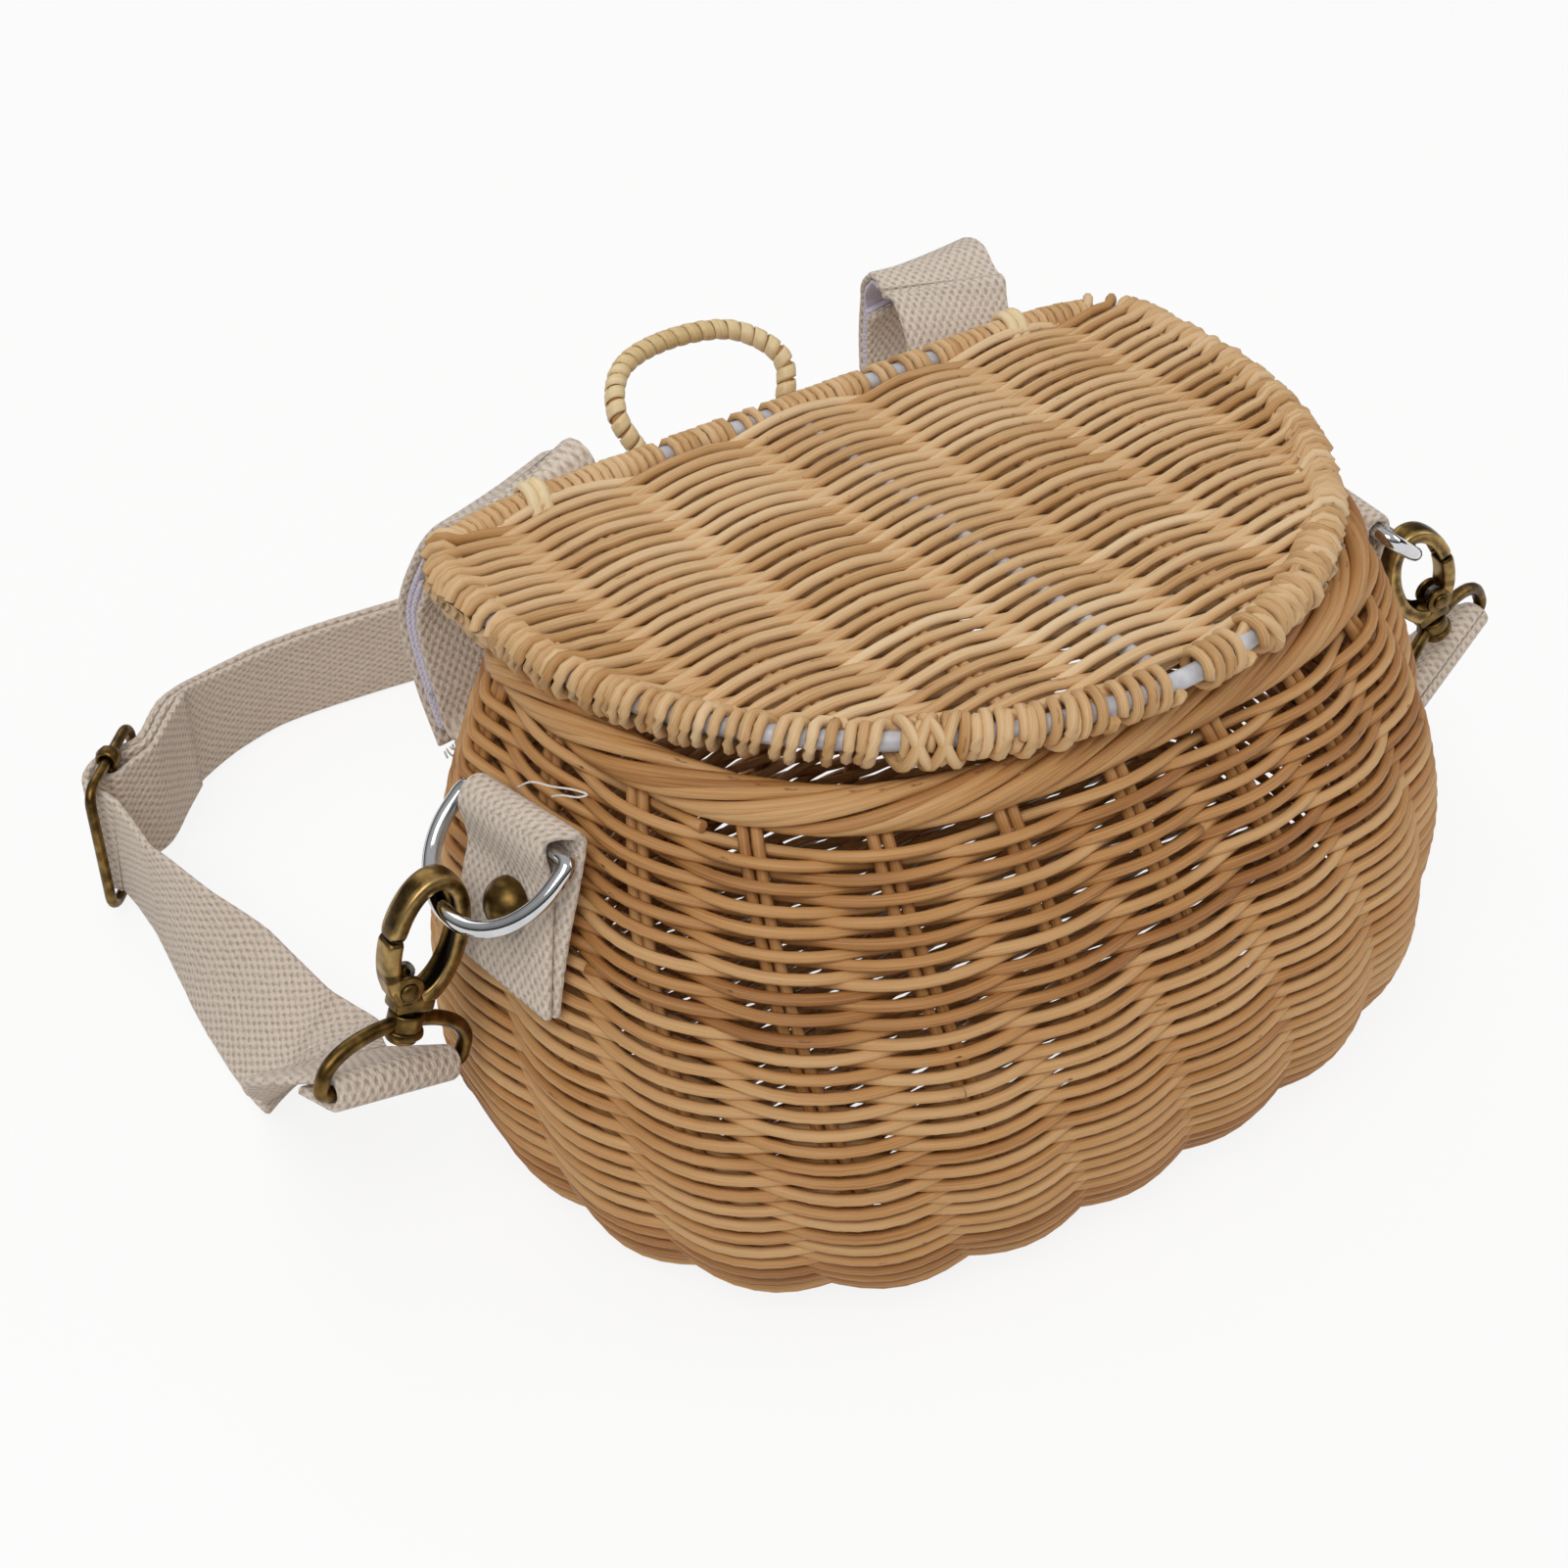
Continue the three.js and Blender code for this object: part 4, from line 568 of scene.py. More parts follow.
def wall_outside(angle, z):
    x, y = plan(angle, swell(z, 0), swell(z, 1), swell(z, 2))
    return np.stack(np.broadcast_arrays(x, y, fall(z, y)), -1)


def wall_normal(angle, z):
    low = np.clip(z - 0.05, 0.001, None)
    rise = wall_outside(angle, low + 0.1) - wall_outside(angle, low)
    turn = wall_outside(angle + 0.002, z) - wall_outside(angle - 0.002, z)
    return unit(np.cross(turn, rise))


def wall_middle(angle, z, out=0):
    """The middle of the woven wall, moved out along its normal."""
    return wall_outside(angle, z) + (np.asarray(out) - WALL / 2)[..., None] * wall_normal(angle, z)


# heights at even steps up the wall, and arc lengths round it that give the stakes their even spacing
WALL_TOP = RIM_TOP - 8
climb_z = np.concatenate([BELLY_Z * np.linspace(0.02, 1, 60) ** 2, np.linspace(BELLY_Z + 1, WALL_TOP, 60)])
climb = lengths(wall_middle(np.zeros(len(climb_z)), climb_z))
round_angle = np.linspace(-np.pi, np.pi, 721)
round_run = lengths(wall_middle(round_angle, np.full(721, float(STAKE_LEVEL))))
stake_share = STAKES * (round_run - np.interp(STAKE_FIRST, round_angle, round_run)) / round_run[-1]


def stake_count(angle, z):
    """How many stakes a weaver has passed at this angle and height."""
    turned = angle - STAKE_LEAN * (z - STAKE_LEVEL)
    laps = np.floor((turned + np.pi) / (2 * np.pi))
    return STAKES * laps + np.interp(turned - 2 * np.pi * laps, round_angle, stake_share)


def stake_angle(count, z):
    laps = np.floor((count - stake_share[0]) / STAKES)
    angle = np.interp(count - STAKES * laps, stake_share, round_angle)
    return angle + 2 * np.pi * laps + STAKE_LEAN * (z - STAKE_LEVEL)


def weave_body():
    """The weavers climb in one spiral, over and under the stakes, each about two laps long."""
    per_stake = 8
    rows = climb[-1] / WEAVER_PITCH
    count = int(rows * STAKES * per_stake)
    lap = np.linspace(0, rows, count)
    angle = 2 * np.pi * lap - np.pi
    z = np.interp(lap * WEAVER_PITCH, climb, climb_z)
    uneven = np.interp(np.arange(count) / per_stake, np.arange(2000), rng.normal(0, 1, 2000))
    out = (WEAVE_DEPTH + 0.1 * uneven) * np.cos(np.pi * stake_count(angle, z))
    middle = wall_middle(angle, z, out)
    middle[:, 2] += 0.16 * np.roll(uneven, 37)
    length = int(WEAVER_LAPS * STAKES * per_stake)
    tubes, tones = [], []
    for start in range(0, count - 1, length):
        part = slice(start, min(start + length + 1, count))
        thick = WEAVER * (1 + rng.uniform(-0.05, 0.03))
        tubes.append(sweep(middle[part], wall_normal(angle[part], z[part]), oval(thick, thick, 7)))
        tones.append(np.clip(0.5 + rng.normal(0, 0.24) + 0.16 * uneven[part], 0, 1))
    made = piece("body_weavers", tubes, body_cane, "basket", tones)
    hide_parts("side_wall")


def stand_stakes():
    # heights, closer together where the wall bends in under the belly
    z = np.concatenate([[0.4, 2, 5, 9, 14], np.linspace(20, RIM_TOP - 5, 24)])
    tubes, tones = [], []
    for k in range(STAKES):
        angle = stake_angle(np.full(len(z), float(k)), z)
        middle = wall_middle(angle, z)
        beside = unit(wall_middle(angle + 0.01, z) - wall_middle(angle - 0.01, z))
        for side in (-0.5, 0.5):
            tubes.append(sweep(middle + side * STAKE_APART * beside, beside, oval(STAKE_CANE, STAKE_CANE, 7)))
            tones.append(rng.uniform(0.2, 0.6))
    piece("body_stakes", tubes, body_cane, "basket", tones)


def border_middle(angle):
    inset = BORDER_WIDTH / 2
    x, y = plan(angle, RIM[0] - inset, RIM[1] - inset, RIM[2] - inset)
    return np.stack([x, y, fall(NECK_Z, y)], -1)


def plait_border():
    """Stake ends laid along the rim: each rises on the outside, crosses the top and tucks in."""
    tubes, tones = [], []
    t = np.linspace(0, 1, 26)
    turn = np.radians(BORDER_FROM + BORDER_TURN * t ** 0.92)
    for k in range(STAKES):
        for strand in range(BORDER_STRANDS):
            count = k + BORDER_STEP * strand + BORDER_REACH * t
            angle = stake_angle(count, np.full(len(t), float(RIM_TOP)))
            centre = border_middle(angle)
            out = np.cross(unit(border_middle(angle + 0.01) - centre), UP)
            wide = (BORDER_WIDTH - BORDER_CANE) / 2 + rng.uniform(-0.2, 0.2)
            tall = (BORDER_HEIGHT - BORDER_CANE) / 2 + rng.uniform(-0.2, 0.2)
            path = centre + (wide * np.cos(turn))[:, None] * out + (tall * np.sin(turn))[:, None] * UP
            tubes.append(sweep(path, out, oval(BORDER_CANE, BORDER_CANE, 7)))
            tones.append(rng.uniform(0.15, 1.0))
    made = piece("rim_plait", tubes, body_cane, "basket", tones)
    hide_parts("rim_border")


def weave_base():
    """Weavers across the bottom, over and under sticks from front to back."""
    edge = np.linspace(-np.pi / 2, np.pi / 2, 181)
    right = wall_middle(edge, np.full(181, 0.3))
    front, back = right[0, 1], right[-1, 1]
    tubes, tones = [], []
    for i, y in enumerate(np.arange(front + 2, back - 2, WEAVER_PITCH)):
        half = np.interp(y, right[:, 1], right[:, 0]) + 1
        x = np.linspace(-half, half, max(8, int(half / 2)))
        z = WALL / 2 + 2.1 * np.cos(np.pi * (x / RIB_PITCH + i))
        row = np.stack([x, np.full(len(x), y), z], -1)
        tubes.append(sweep(row, UP, oval(WEAVER, WEAVER, 6)))
        tones.append(rng.uniform(0.1, 0.6))
    made = piece("base_weavers", tubes, body_cane, "basket", tones)
    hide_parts("base_panel")
    sticks = []
    for k in range(-3, 4):
        y = np.linspace(front + 4, back - 3, 40)
        y = y[np.abs(k * RIB_PITCH) < np.interp(y, right[:, 1], right[:, 0]) - 2]
        path = np.stack([np.full(len(y), k * RIB_PITCH), y, np.full(len(y), WALL / 2)], -1)
        sticks.append(sweep(path, UP, oval(BASE_STICK, BASE_STICK, 7)))
    piece("base_sticks", sticks, body_cane, "basket")


def carry_loop_line():
    leg = WIDEST_Y + RIM[2] + CARRY_STAND
    half = [
        (CARRY_FOOT_HALF - 1, leg - 6, RIM_TOP - CARRY_FOOT_DEPTH),
        (CARRY_FOOT_HALF, leg - 0.5, RIM_TOP - CARRY_FOOT_DEPTH * 0.6),
        (CARRY_FOOT_HALF + 1, leg + 1.5, RIM_TOP - CARRY_FOOT_DEPTH * 0.2),
        (CARRY_HALF, leg + CARRY_LEAN * 0.36, RIM_TOP + CARRY_RISE * 0.42),
        (CARRY_HALF * 0.7, leg + CARRY_LEAN * 0.8, RIM_TOP + CARRY_RISE * 0.9),
    ]
    top = (0, leg + CARRY_LEAN, RIM_TOP + CARRY_RISE)
    points = [*[(-x, y, z) for x, y, z in half], top, *half[::-1]]
    return respaced(spline(np.array(points) + CARRY_X * ACROSS, 12), 240)


def bind_carry_loop():
    """A bent cane, bound with a flat strip of peel from the rim over its top."""
    line = carry_loop_line()
    core = piece("carry_loop_cane", [sweep(line, ACROSS + BACK, oval(2 * CARRY_CORE, 2 * CARRY_CORE, 10))],
                 body_cane, "basket")
    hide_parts("handle_core")
    along = directions(line)
    side = unit(np.cross(along, ACROSS + BACK))
    up = np.cross(along, side)
    per_turn = 12
    count = CARRY_TURNS * per_turn
    at = np.linspace(0.17, 0.83, count + 1) * (len(line) - 1)
    turn = 2 * np.pi * np.arange(count + 1) / per_turn + 0.25 * np.sin(np.arange(count + 1) / 29)
    pick = [np.stack([np.interp(at, np.arange(len(line)), v[:, k]) for k in range(3)], -1)
            for v in (line, side, up)]
    out = np.cos(turn)[:, None] * pick[1] + np.sin(turn)[:, None] * pick[2]
    path = pick[0] + (CARRY_CORE + CARRY_PEEL / 2) * out
    strip = sweep(path, out, oval(CARRY_PEEL, CARRY_PEEL_WIDE, 8))
    shades = 0.5 + 0.25 * np.sin(np.arange(count + 1) / 31)
    made = piece("carry_loop_peel", [strip], cane_peel, "basket", [shades])
    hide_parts("handle_wrap")


# Lid

def lid_half(y):
    """Half the lid's width at y, to the middle of its wire."""
    front = np.clip(WIDEST_Y - y, 0, None) / LID_FRONT
    back = np.clip(y - WIDEST_Y, 0, None) / LID_BACK
    ahead = np.clip(1 - front ** LID_FRONT_POWER, 0, 1) ** (1 / LID_FRONT_POWER)
    behind = np.clip(1 - back ** LID_BACK_POWER, 0, 1) ** (1 / LID_BACK_POWER)
    return LID_SIDE * np.where(y < WIDEST_Y, ahead, behind)


def lid_back_y(x):
    return WIDEST_Y + LID_BACK * (1 - (np.abs(x) / LID_SIDE) ** LID_BACK_POWER) ** (1 / LID_BACK_POWER)


def lid_front_y(x):
    return WIDEST_Y - LID_FRONT * (1 - (np.abs(x) / LID_SIDE) ** LID_FRONT_POWER) ** (1 / LID_FRONT_POWER)


def lid_wire(count):
    angle = 2 * np.pi * (np.arange(count) + 0.5) / count
    c, s = np.cos(angle), np.sin(angle)
    power = np.where(s < 0, LID_FRONT_POWER, LID_BACK_POWER)
    reach = (np.abs(c) ** power + np.abs(s) ** power) ** (-1 / power)
    y = WIDEST_Y + np.where(s < 0, LID_FRONT, LID_BACK) * reach * s
    return np.stack([LID_SIDE * reach * c, y, np.full(count, float(LID_Z))], -1)


lid_ring = lid_wire(720)
lid_ring_out = np.cross(directions(lid_ring, closed=True), UP)


def wire_out(at):
    """The direction out of the lid at a point of its wire."""
    return lid_ring_out[np.argmin(np.linalg.norm(lid_ring - at, axis=1))]


def weave_lid():
    """Weavers across the lid, each over every second rib, with both ends looped round the wire."""
    tubes, tones = [], []
    rows = np.arange(WIDEST_Y + LID_BACK - LID_ROW_FIRST, WIDEST_Y - LID_FRONT + 2.4, -LID_PITCH)
    share = np.linspace(0, 1, 13)[:, None]
    radius = LID_WIRE + LID_WEAVER / 2
    for i, y in enumerate(rows):
        half = float(lid_half(y))
        x = np.linspace(4 - half, half - 4, max(6, int(half / 2)))
        lift = LID_DEPTH + rng.uniform(-0.15, 0.1)
        z = LID_Z + lift * np.cos(np.pi * (x / RIB_PITCH + i))
        row = np.stack([x, y + rng.normal(0, 0.12, len(x)), z], -1)
        ends = []
        for side in (-1, 1):
            at = np.array([side * half, y, LID_Z])
            out = wire_out(at)
            onward = np.cross(UP, out)
            onward *= np.sign(onward[0] * side + 1e-6)
            # the end comes over the wire and goes once round it, slanting the way it came
            spread = LID_PITCH / max(abs(onward[1]), 0.2)
            at = at + rng.uniform(-0.4, 0.4) * min(spread, 4) * onward
            slant = min(7, rng.uniform(0.5, 1.3) * spread) * onward
            turn = np.radians(115 - rng.uniform(290, 345) * share)
            loose = radius + rng.uniform(0, 1.3) * np.sin(np.pi * share)
            ends.append(at + loose * (np.cos(turn) * out + np.sin(turn) * UP) + share * slant)
        path = respaced(spline(np.vstack([ends[0][::-1], row, ends[1]]), 3), max(60, int(half * 1.15)))
        thick = LID_WEAVER * (1 + rng.uniform(-0.07, 0.05))
        tubes.append(sweep(path, UP + 0.01 * BACK, oval(thick, thick, 7)))
        tones.append(np.clip(rng.normal(0.5, 0.2), 0, 1))
    made = piece("lid_weavers", tubes, lid_cane, "lid", tones)
    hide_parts("lid_weave")


def lay_ribs():
    """Pairs of canes that the weavers pass over and under, beside the coated wire in the middle."""
    for k in (-2, -1, 1, 2):
        tubes = []
        for side in (-0.5, 0.5):
            x = k * RIB_PITCH + side * (RIB_CANE + 0.1)
            y = np.linspace(lid_front_y(x) + 2.5, lid_back_y(x) - 2.5, 14)
            line = np.stack([np.full(14, x), y, np.full(14, float(LID_Z))], -1)
            tubes.append(sweep(line, UP, oval(RIB_CANE, RIB_CANE, 8)))
        made = piece(f"lid_ribs_{k + 3}", tubes, lid_cane, "lid", rng.uniform(0.2, 0.6, 2))
        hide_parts(f"lid_cane_rib_{k + 3}")


def around_wire(at, turn, reach):
    """A line that goes round the lid's wire: its points and the directions out of the wire."""
    out = np.array([wire_out(p) for p in at])
    away = np.cos(turn)[:, None] * out + np.sin(turn)[:, None] * UP
    return at + (LID_WIRE + reach)[:, None] * away, away


def whip_back():
    """The back wire is whipped in short runs, with a little bare wire between them."""
    per_turn = 9
    tubes, tones = [], []
    gaps = [end for x in WHIP_BARE for end in (x - WHIP_GAP / 2, x + WHIP_GAP / 2)]
    stops_at = [-WHIP_HALF, *gaps, WHIP_HALF]
    for low, high in zip(stops_at[::2], stops_at[1::2]):
        turns = max(2, round((high - low) / WHIP_PITCH))
        count = turns * per_turn + 1
        x = np.linspace(low, high, count)
        uneven = np.interp(np.arange(count) / per_turn, np.arange(turns + 2), rng.normal(0, 1, turns + 2))
        turn = 2 * np.pi * np.arange(count) / per_turn
        wire = np.stack([x + 0.25 * uneven, lid_back_y(x), np.full(count, float(LID_Z))], -1)
        line, away = around_wire(wire, turn, WHIP_CANE / 2 + 0.15 * np.abs(uneven))
        tubes.append(sweep(line, away, oval(WHIP_CANE, WHIP_CANE_WIDE, 7)))
        tones.append(np.clip(0.45 + 0.22 * uneven, 0, 1))
    made = piece("lid_whipping", tubes, lid_cane, "lid", tones)
    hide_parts("lid_binding_middle", "lid_binding_left", "lid_binding_right")


def wire_run(x):
    """How far along the front of the wire x is."""
    front = lid_ring[:, 1] < WIDEST_Y
    order = np.argsort(lid_ring[front, 0])
    return np.interp(x, lid_ring[front, 0][order], lengths(lid_ring)[front][order])


def bind_front():
    """Rough turns of cane round the front of the wire in runs, with a knot where they start."""
    per_turn = 12
    tubes, tones = [], []
    closed_ring = np.vstack([lid_ring, lid_ring[:1]])
    for low, high in FRONT_RUNS:
        start, end = wire_run(low), wire_run(high)
        turns = int(abs(end - start) / FRONT_PITCH)
        count = turns * per_turn + 1
        wobble = np.interp(np.arange(count) / per_turn, np.arange(turns + 2), rng.normal(0, 1, turns + 2))
        at = along_line(closed_ring, np.linspace(start, end, count) + 0.5 * wobble)
        turn = 2 * np.pi * np.arange(count) / per_turn
        # turns go wider over the lid's weave than outside it
        reach = FRONT_CANE / 2 + 0.3 * np.abs(wobble) - 0.9 * np.minimum(np.cos(turn), 0)
        line, away = around_wire(at, turn, reach)
        tubes.append(sweep(line, away, oval(FRONT_CANE, FRONT_CANE, 7)))
        tones.append(np.clip(0.35 + 0.2 * wobble, 0, 1))
    t = np.linspace(0, 1, 24)
    for k in range(4):
        run = wire_run(FRONT_RUNS[0][0]) + (k - 1.5) * FRONT_CANE + 9 * (t - 0.5) * (1 if k % 2 else -1)
        line, away = around_wire(along_line(closed_ring, run), np.radians(120 - 260 * t),
                                 FRONT_CANE * (0.85 + 0.35 * np.sin(np.pi * t)))
        tubes.append(sweep(line, away, oval(FRONT_CANE, FRONT_CANE, 7)))
        tones.append(rng.uniform(0.25, 0.6))
    piece("lid_front_binding", tubes, lid_cane, "lid", tones)


def tie_hinges():
    """Each tie loops twice round the lid's wire and is rooted in the border."""
    per_turn = 24
    inset = BORDER_WIDTH / 2
    share = (1 - (TIE_X / (RIM[0] - inset)) ** BACK_POWER) ** (1 / BACK_POWER)
    wire = np.array([0, float(lid_back_y(TIE_X)), LID_Z])
    root = np.array([0, WIDEST_Y + TIE_ROOT + (RIM[2] - inset) * share, LID_Z - TIE_DEPTH])
    up = unit(wire - root)
    across = np.cross(up, ACROSS)
    radius = LID_WIRE + CLEAR + TIE_THICK
    i = np.arange(TIE_TURNS * per_turn + 1)
    turn = np.pi + 2 * np.pi * (i + 0.5) / per_turn
    hub = np.where(np.cos(turn)[:, None] > 0, wire, root)
    ring = hub + radius * (np.cos(turn)[:, None] * up + np.sin(turn)[:, None] * across)
    for side in (-1, 1):
        line = ring.copy()
        line[:, 0] = side * TIE_X + TIE_PITCH * (i / per_turn - TIE_TURNS / 2)
        tube = sweep(line, ACROSS, oval(TIE_WIDE, TIE_THICK, 8))
        made = piece(f"hinge_tie_peel_{SIDES[side]}", [tube], cane_peel, "basket", [0.85])
        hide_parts(f"hinge_tie_{SIDES[side]}")


# Frames of the fittings at each end

HUG = (BELLY[0] - RIM[0]) / (NECK_Z - BELLY_Z) ** 2  # the wall's bend under a tab
BACK_LAYER = CLEAR + WEB_THICK / 2
FRONT_LAYER = BACK_LAYER + WEB_THICK + CLEAR
TAB_OUT = FRONT_LAYER + WEB_THICK / 2
TAB_FOLD = RING_WIRE + CLEAR + WEB_THICK / 2
RING_BAR_X = BACK_LAYER + TAB_FOLD


def wall_x(y, z):
    level = z / fall(1, y)
    share = (WIDEST_Y - y) / swell(level, 1)
    return float(swell(level, 0) * (1 - share ** FRONT_POWER) ** (1 / FRONT_POWER))


def end_frame(side):
    """Origin at the rivet on the wall, first axis out of the basket, third axis up."""
    z = TAB_Z[side]
    turn = math.atan((wall_x(TAB_Y + 1, z) - wall_x(TAB_Y - 1, z)) / 2)
    turn = -turn if side > 0 else math.pi + turn
    return Matrix.Translation((side * wall_x(TAB_Y, z), TAB_Y, z)) @ Matrix.Rotation(turn, 4, "Z")


def tab_frame(side):
    lean = math.atan(2 * HUG * (TAB_Z[side] - BELLY_Z))
    return end_frame(side) @ Matrix.Rotation(-lean, 4, "Y")


def ring_frame(side):
    bar = Matrix.Translation((RING_BAR_X, RING_SHIFT, RING_BAR_Z))
    return tab_frame(side) @ bar @ Matrix.Rotation(-RING_SWING[side], 4, "Y")


def hook_frame(side):
    """Third axis up the hook, first axis towards its spine; the D-ring passes at its seat."""
    drop = RING_STRAIGHT + (RING_DEPTH - RING_STRAIGHT) * math.sqrt(1 - (HOOK_AT / RING_HALF) ** 2)
    seat = ring_frame(side) @ Vector((0, HOOK_AT, -drop))
    turn = end_frame(side).to_3x3() @ Matrix.Rotation(-HOOK_LEAN[side], 3, "Y")
    turn = turn @ Matrix.Rotation(math.pi + HOOK_ROLL, 3, "Z")
    return Matrix.Translation(seat - turn @ Vector((EYE_SIDE, 0, EYE_SEAT))) @ turn.to_4x4()


def loop_frame(side):
    return hook_frame(side) @ Matrix.Rotation(LOOP_TURN[side], 4, "Z")


def placed(points, place):
    turn = np.array(place)
    return np.asarray(points) @ turn[:3, :3].T + turn[:3, 3]


# Shoulder strap: rows of a point and the direction of the webbing's width

def tilted(route):
    """Width directions from the tilt, leaning to the inside of the strap's loop."""
    route = np.array(route, float)
    along = np.gradient(route[:, :3], axis=0)
    inside = unit(np.stack([along[:, 1], -along[:, 0], np.zeros(len(route))], -1))
    tilt = np.radians(route[:, 3:])
    return np.hstack([route[:, :3], inside * np.cos(tilt) + UP * np.sin(tilt)])


def dense(rows, steps):
    rows = np.asarray(rows)
    at = np.arange((len(rows) - 1) * steps + 1) / steps
    width = np.stack([np.interp(at, np.arange(len(rows)), rows[:, 3 + k]) for k in range(3)], -1)
    return np.hstack([spline(rows[:, :3], steps), unit(width)])


def beside(rows, offset):
    away = unit(np.cross(rows[:, 3:], np.gradient(rows[:, :3], axis=0)))
    offset = np.broadcast_to(offset, len(rows))
    return np.hstack([rows[:, :3] + offset[:, None] * away, rows[:, 3:]])


def bar_turn(bar, width, away):
    """Half a turn round a loop's bar, from below the strap to above it."""
    up = np.cross(width, away)
    angle = np.linspace(0, np.pi, 9)[:, None]
    points = bar - BAR_FOLD * (np.cos(angle) * up + np.sin(angle) * away)
    return np.hstack([points, np.broadcast_to(width, points.shape)])


def slider_rows(points):
    along = np.array([math.cos(SLIDER_HEADING), math.sin(SLIDER_HEADING), 0])
    out = np.cross(UP, along)
    made = [[*(np.array(SLIDER_AT) + s * along + n * out), *UP] for s, n in points]
    return np.array(made)


def loop_bar(side, route_end):
    """A strap loop's bar, its direction, and the direction in which the strap leaves it."""
    place = np.array(loop_frame(side))
    bar = placed([0, 0, -LOOP_BAR], place)
    width = place[:3, 0]
    away = route_end - bar
    return bar, width, unit(away - width * np.dot(away, width))


def strap_runs():
    """The strap's two runs: from its sewn end on the left loop through the slider to the right loop, and
    back to its sewn end on the slider's middle bar."""
    left = tilted(STRAP_LEFT)
    bar, width, away = loop_bar(-1, left[0, :3])
    turn = bar_turn(bar, width, away)
    straight = [[*(turn[-1, :3] + far * away), *width] for far in (2 * BAR_FOLD, SEWN_TAIL)]
    run = dense(np.vstack([turn[-1:], straight, left]), 3)
    # the cut end comes back round the bar and is sewn to the strap's underside
    under = (2 * BAR_FOLD - LAYER) * np.cross(width, away)
    tail = [[*(turn[0, :3] + share * (SEWN_REACH * away + under)), *width] for share in (1, 0.5)]

    back = tilted(STRAP_BACK)
    bar, width, away = loop_bar(1, back[-1, :3])
    right = bar_turn(bar, width, away)
    near = [[*(bar + 5 * BAR_FOLD * away), *width]]
    slider_end = slider_rows([(26, (SLIDER_OUTER[-1][1] + SLIDER_INNER[0][1]) / 2)])
    per_span = 3
    pair = dense(np.vstack([slider_end, back, near]), per_span)
    left_over = np.arange(len(pair))[::-1] / per_span
    apart = LAYER / 2 + LAYERS_PART * np.clip(1 - left_over / LAYERS_PART_OVER, 0, 1)
    half = len(right) // 2
    outer = np.vstack([tail, turn, run[1:], dense(slider_rows(SLIDER_OUTER), 2), beside(pair, apart),
                       right[:half + 1]])
    inner = np.vstack([right[half:], beside(pair, -apart)[::-1], dense(slider_rows(SLIDER_INNER), 2)])
    return dense(outer, 2), dense(inner, 2)


def lay_strap():
    """Both runs go from metal to metal."""
    section = rounded(WEB_WIDTH, WEB_THICK, 0.75, 3)
    for name, rows in zip(("outer", "inner"), strap_runs()):
        line = rows[:, :3]
        made = piece(f"shoulder_strap_{name}", [sweep(line, rows[:, 3:], section)], webbing, "basket")
        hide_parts("shoulder_strap")
        if name == "inner":
            sew("strap_stitches_slider", rows, lengths(line)[-1] - 6, -1)


def sew(name, rows, at, face):
    """A row of stitches across a webbing at a run along its line, on one of its faces."""
    row = along_line(rows, at)
    ahead = along_line(rows, at + 0.5) - along_line(rows, at - 0.5)
    width = unit(row[3:])
    out = face * unit(np.cross(ahead[:3], width))
    tubes = []
    for u in np.arange(-WEB_WIDTH / 2 + 2, WEB_WIDTH / 2 - 1.5, 3.0):
        t = np.linspace(-1, 1, 6)
        line = row[:3] + (u + 1.1 * t)[:, None] * width
        line = line + (WEB_THICK / 2 + 0.2 - 0.35 * t ** 4)[:, None] * out
        tubes.append(sweep(line, out, oval(0.5, 0.6, 6)))
    piece(name, tubes, thread, "basket")


# Handlebar straps

def bar_rows(side, route):
    """Rows of a webbing from a route out from the back wall and up."""
    x = side * BAR_STRAP_X
    half, reach = float(swell(SLOT_HIGH, 0)), float(swell(SLOT_HIGH, 2))
    y = [WIDEST_Y + reach * (1 - (abs(at) / half) ** BACK_POWER) ** (1 / BACK_POWER)
         for at in (x - 0.5, x, x + 0.5)]
    along = unit(np.array([1, y[2] - y[0], 0]))
    out = np.array([-along[1], along[0], 0])
    route = np.asarray(route)
    points = np.array([x, y[1], 0]) + route[:, :1] * out + route[:, 1:] * UP
    ease = np.clip(route[:, :1] / BAR_EASE, 0, 1)
    turn = BAR_TWIST[side] * ease
    return np.hstack([points, unit(np.cos(turn) * along + np.sin(turn) * out + BAR_TILT[side] * ease * UP)])


def inside_of(line, low, high, offset, count):
    """A stretch of a route, moved to its inside."""
    fine = respaced(line, 400)
    along = directions(fine)
    at = np.linspace(low, high, count) * 399
    p, t = [np.stack([np.interp(at, np.arange(400), v[:, k]) for k in range(2)], -1) for v in (fine, along)]
    return p + offset * np.stack([t[:, 1], -t[:, 0]], -1)


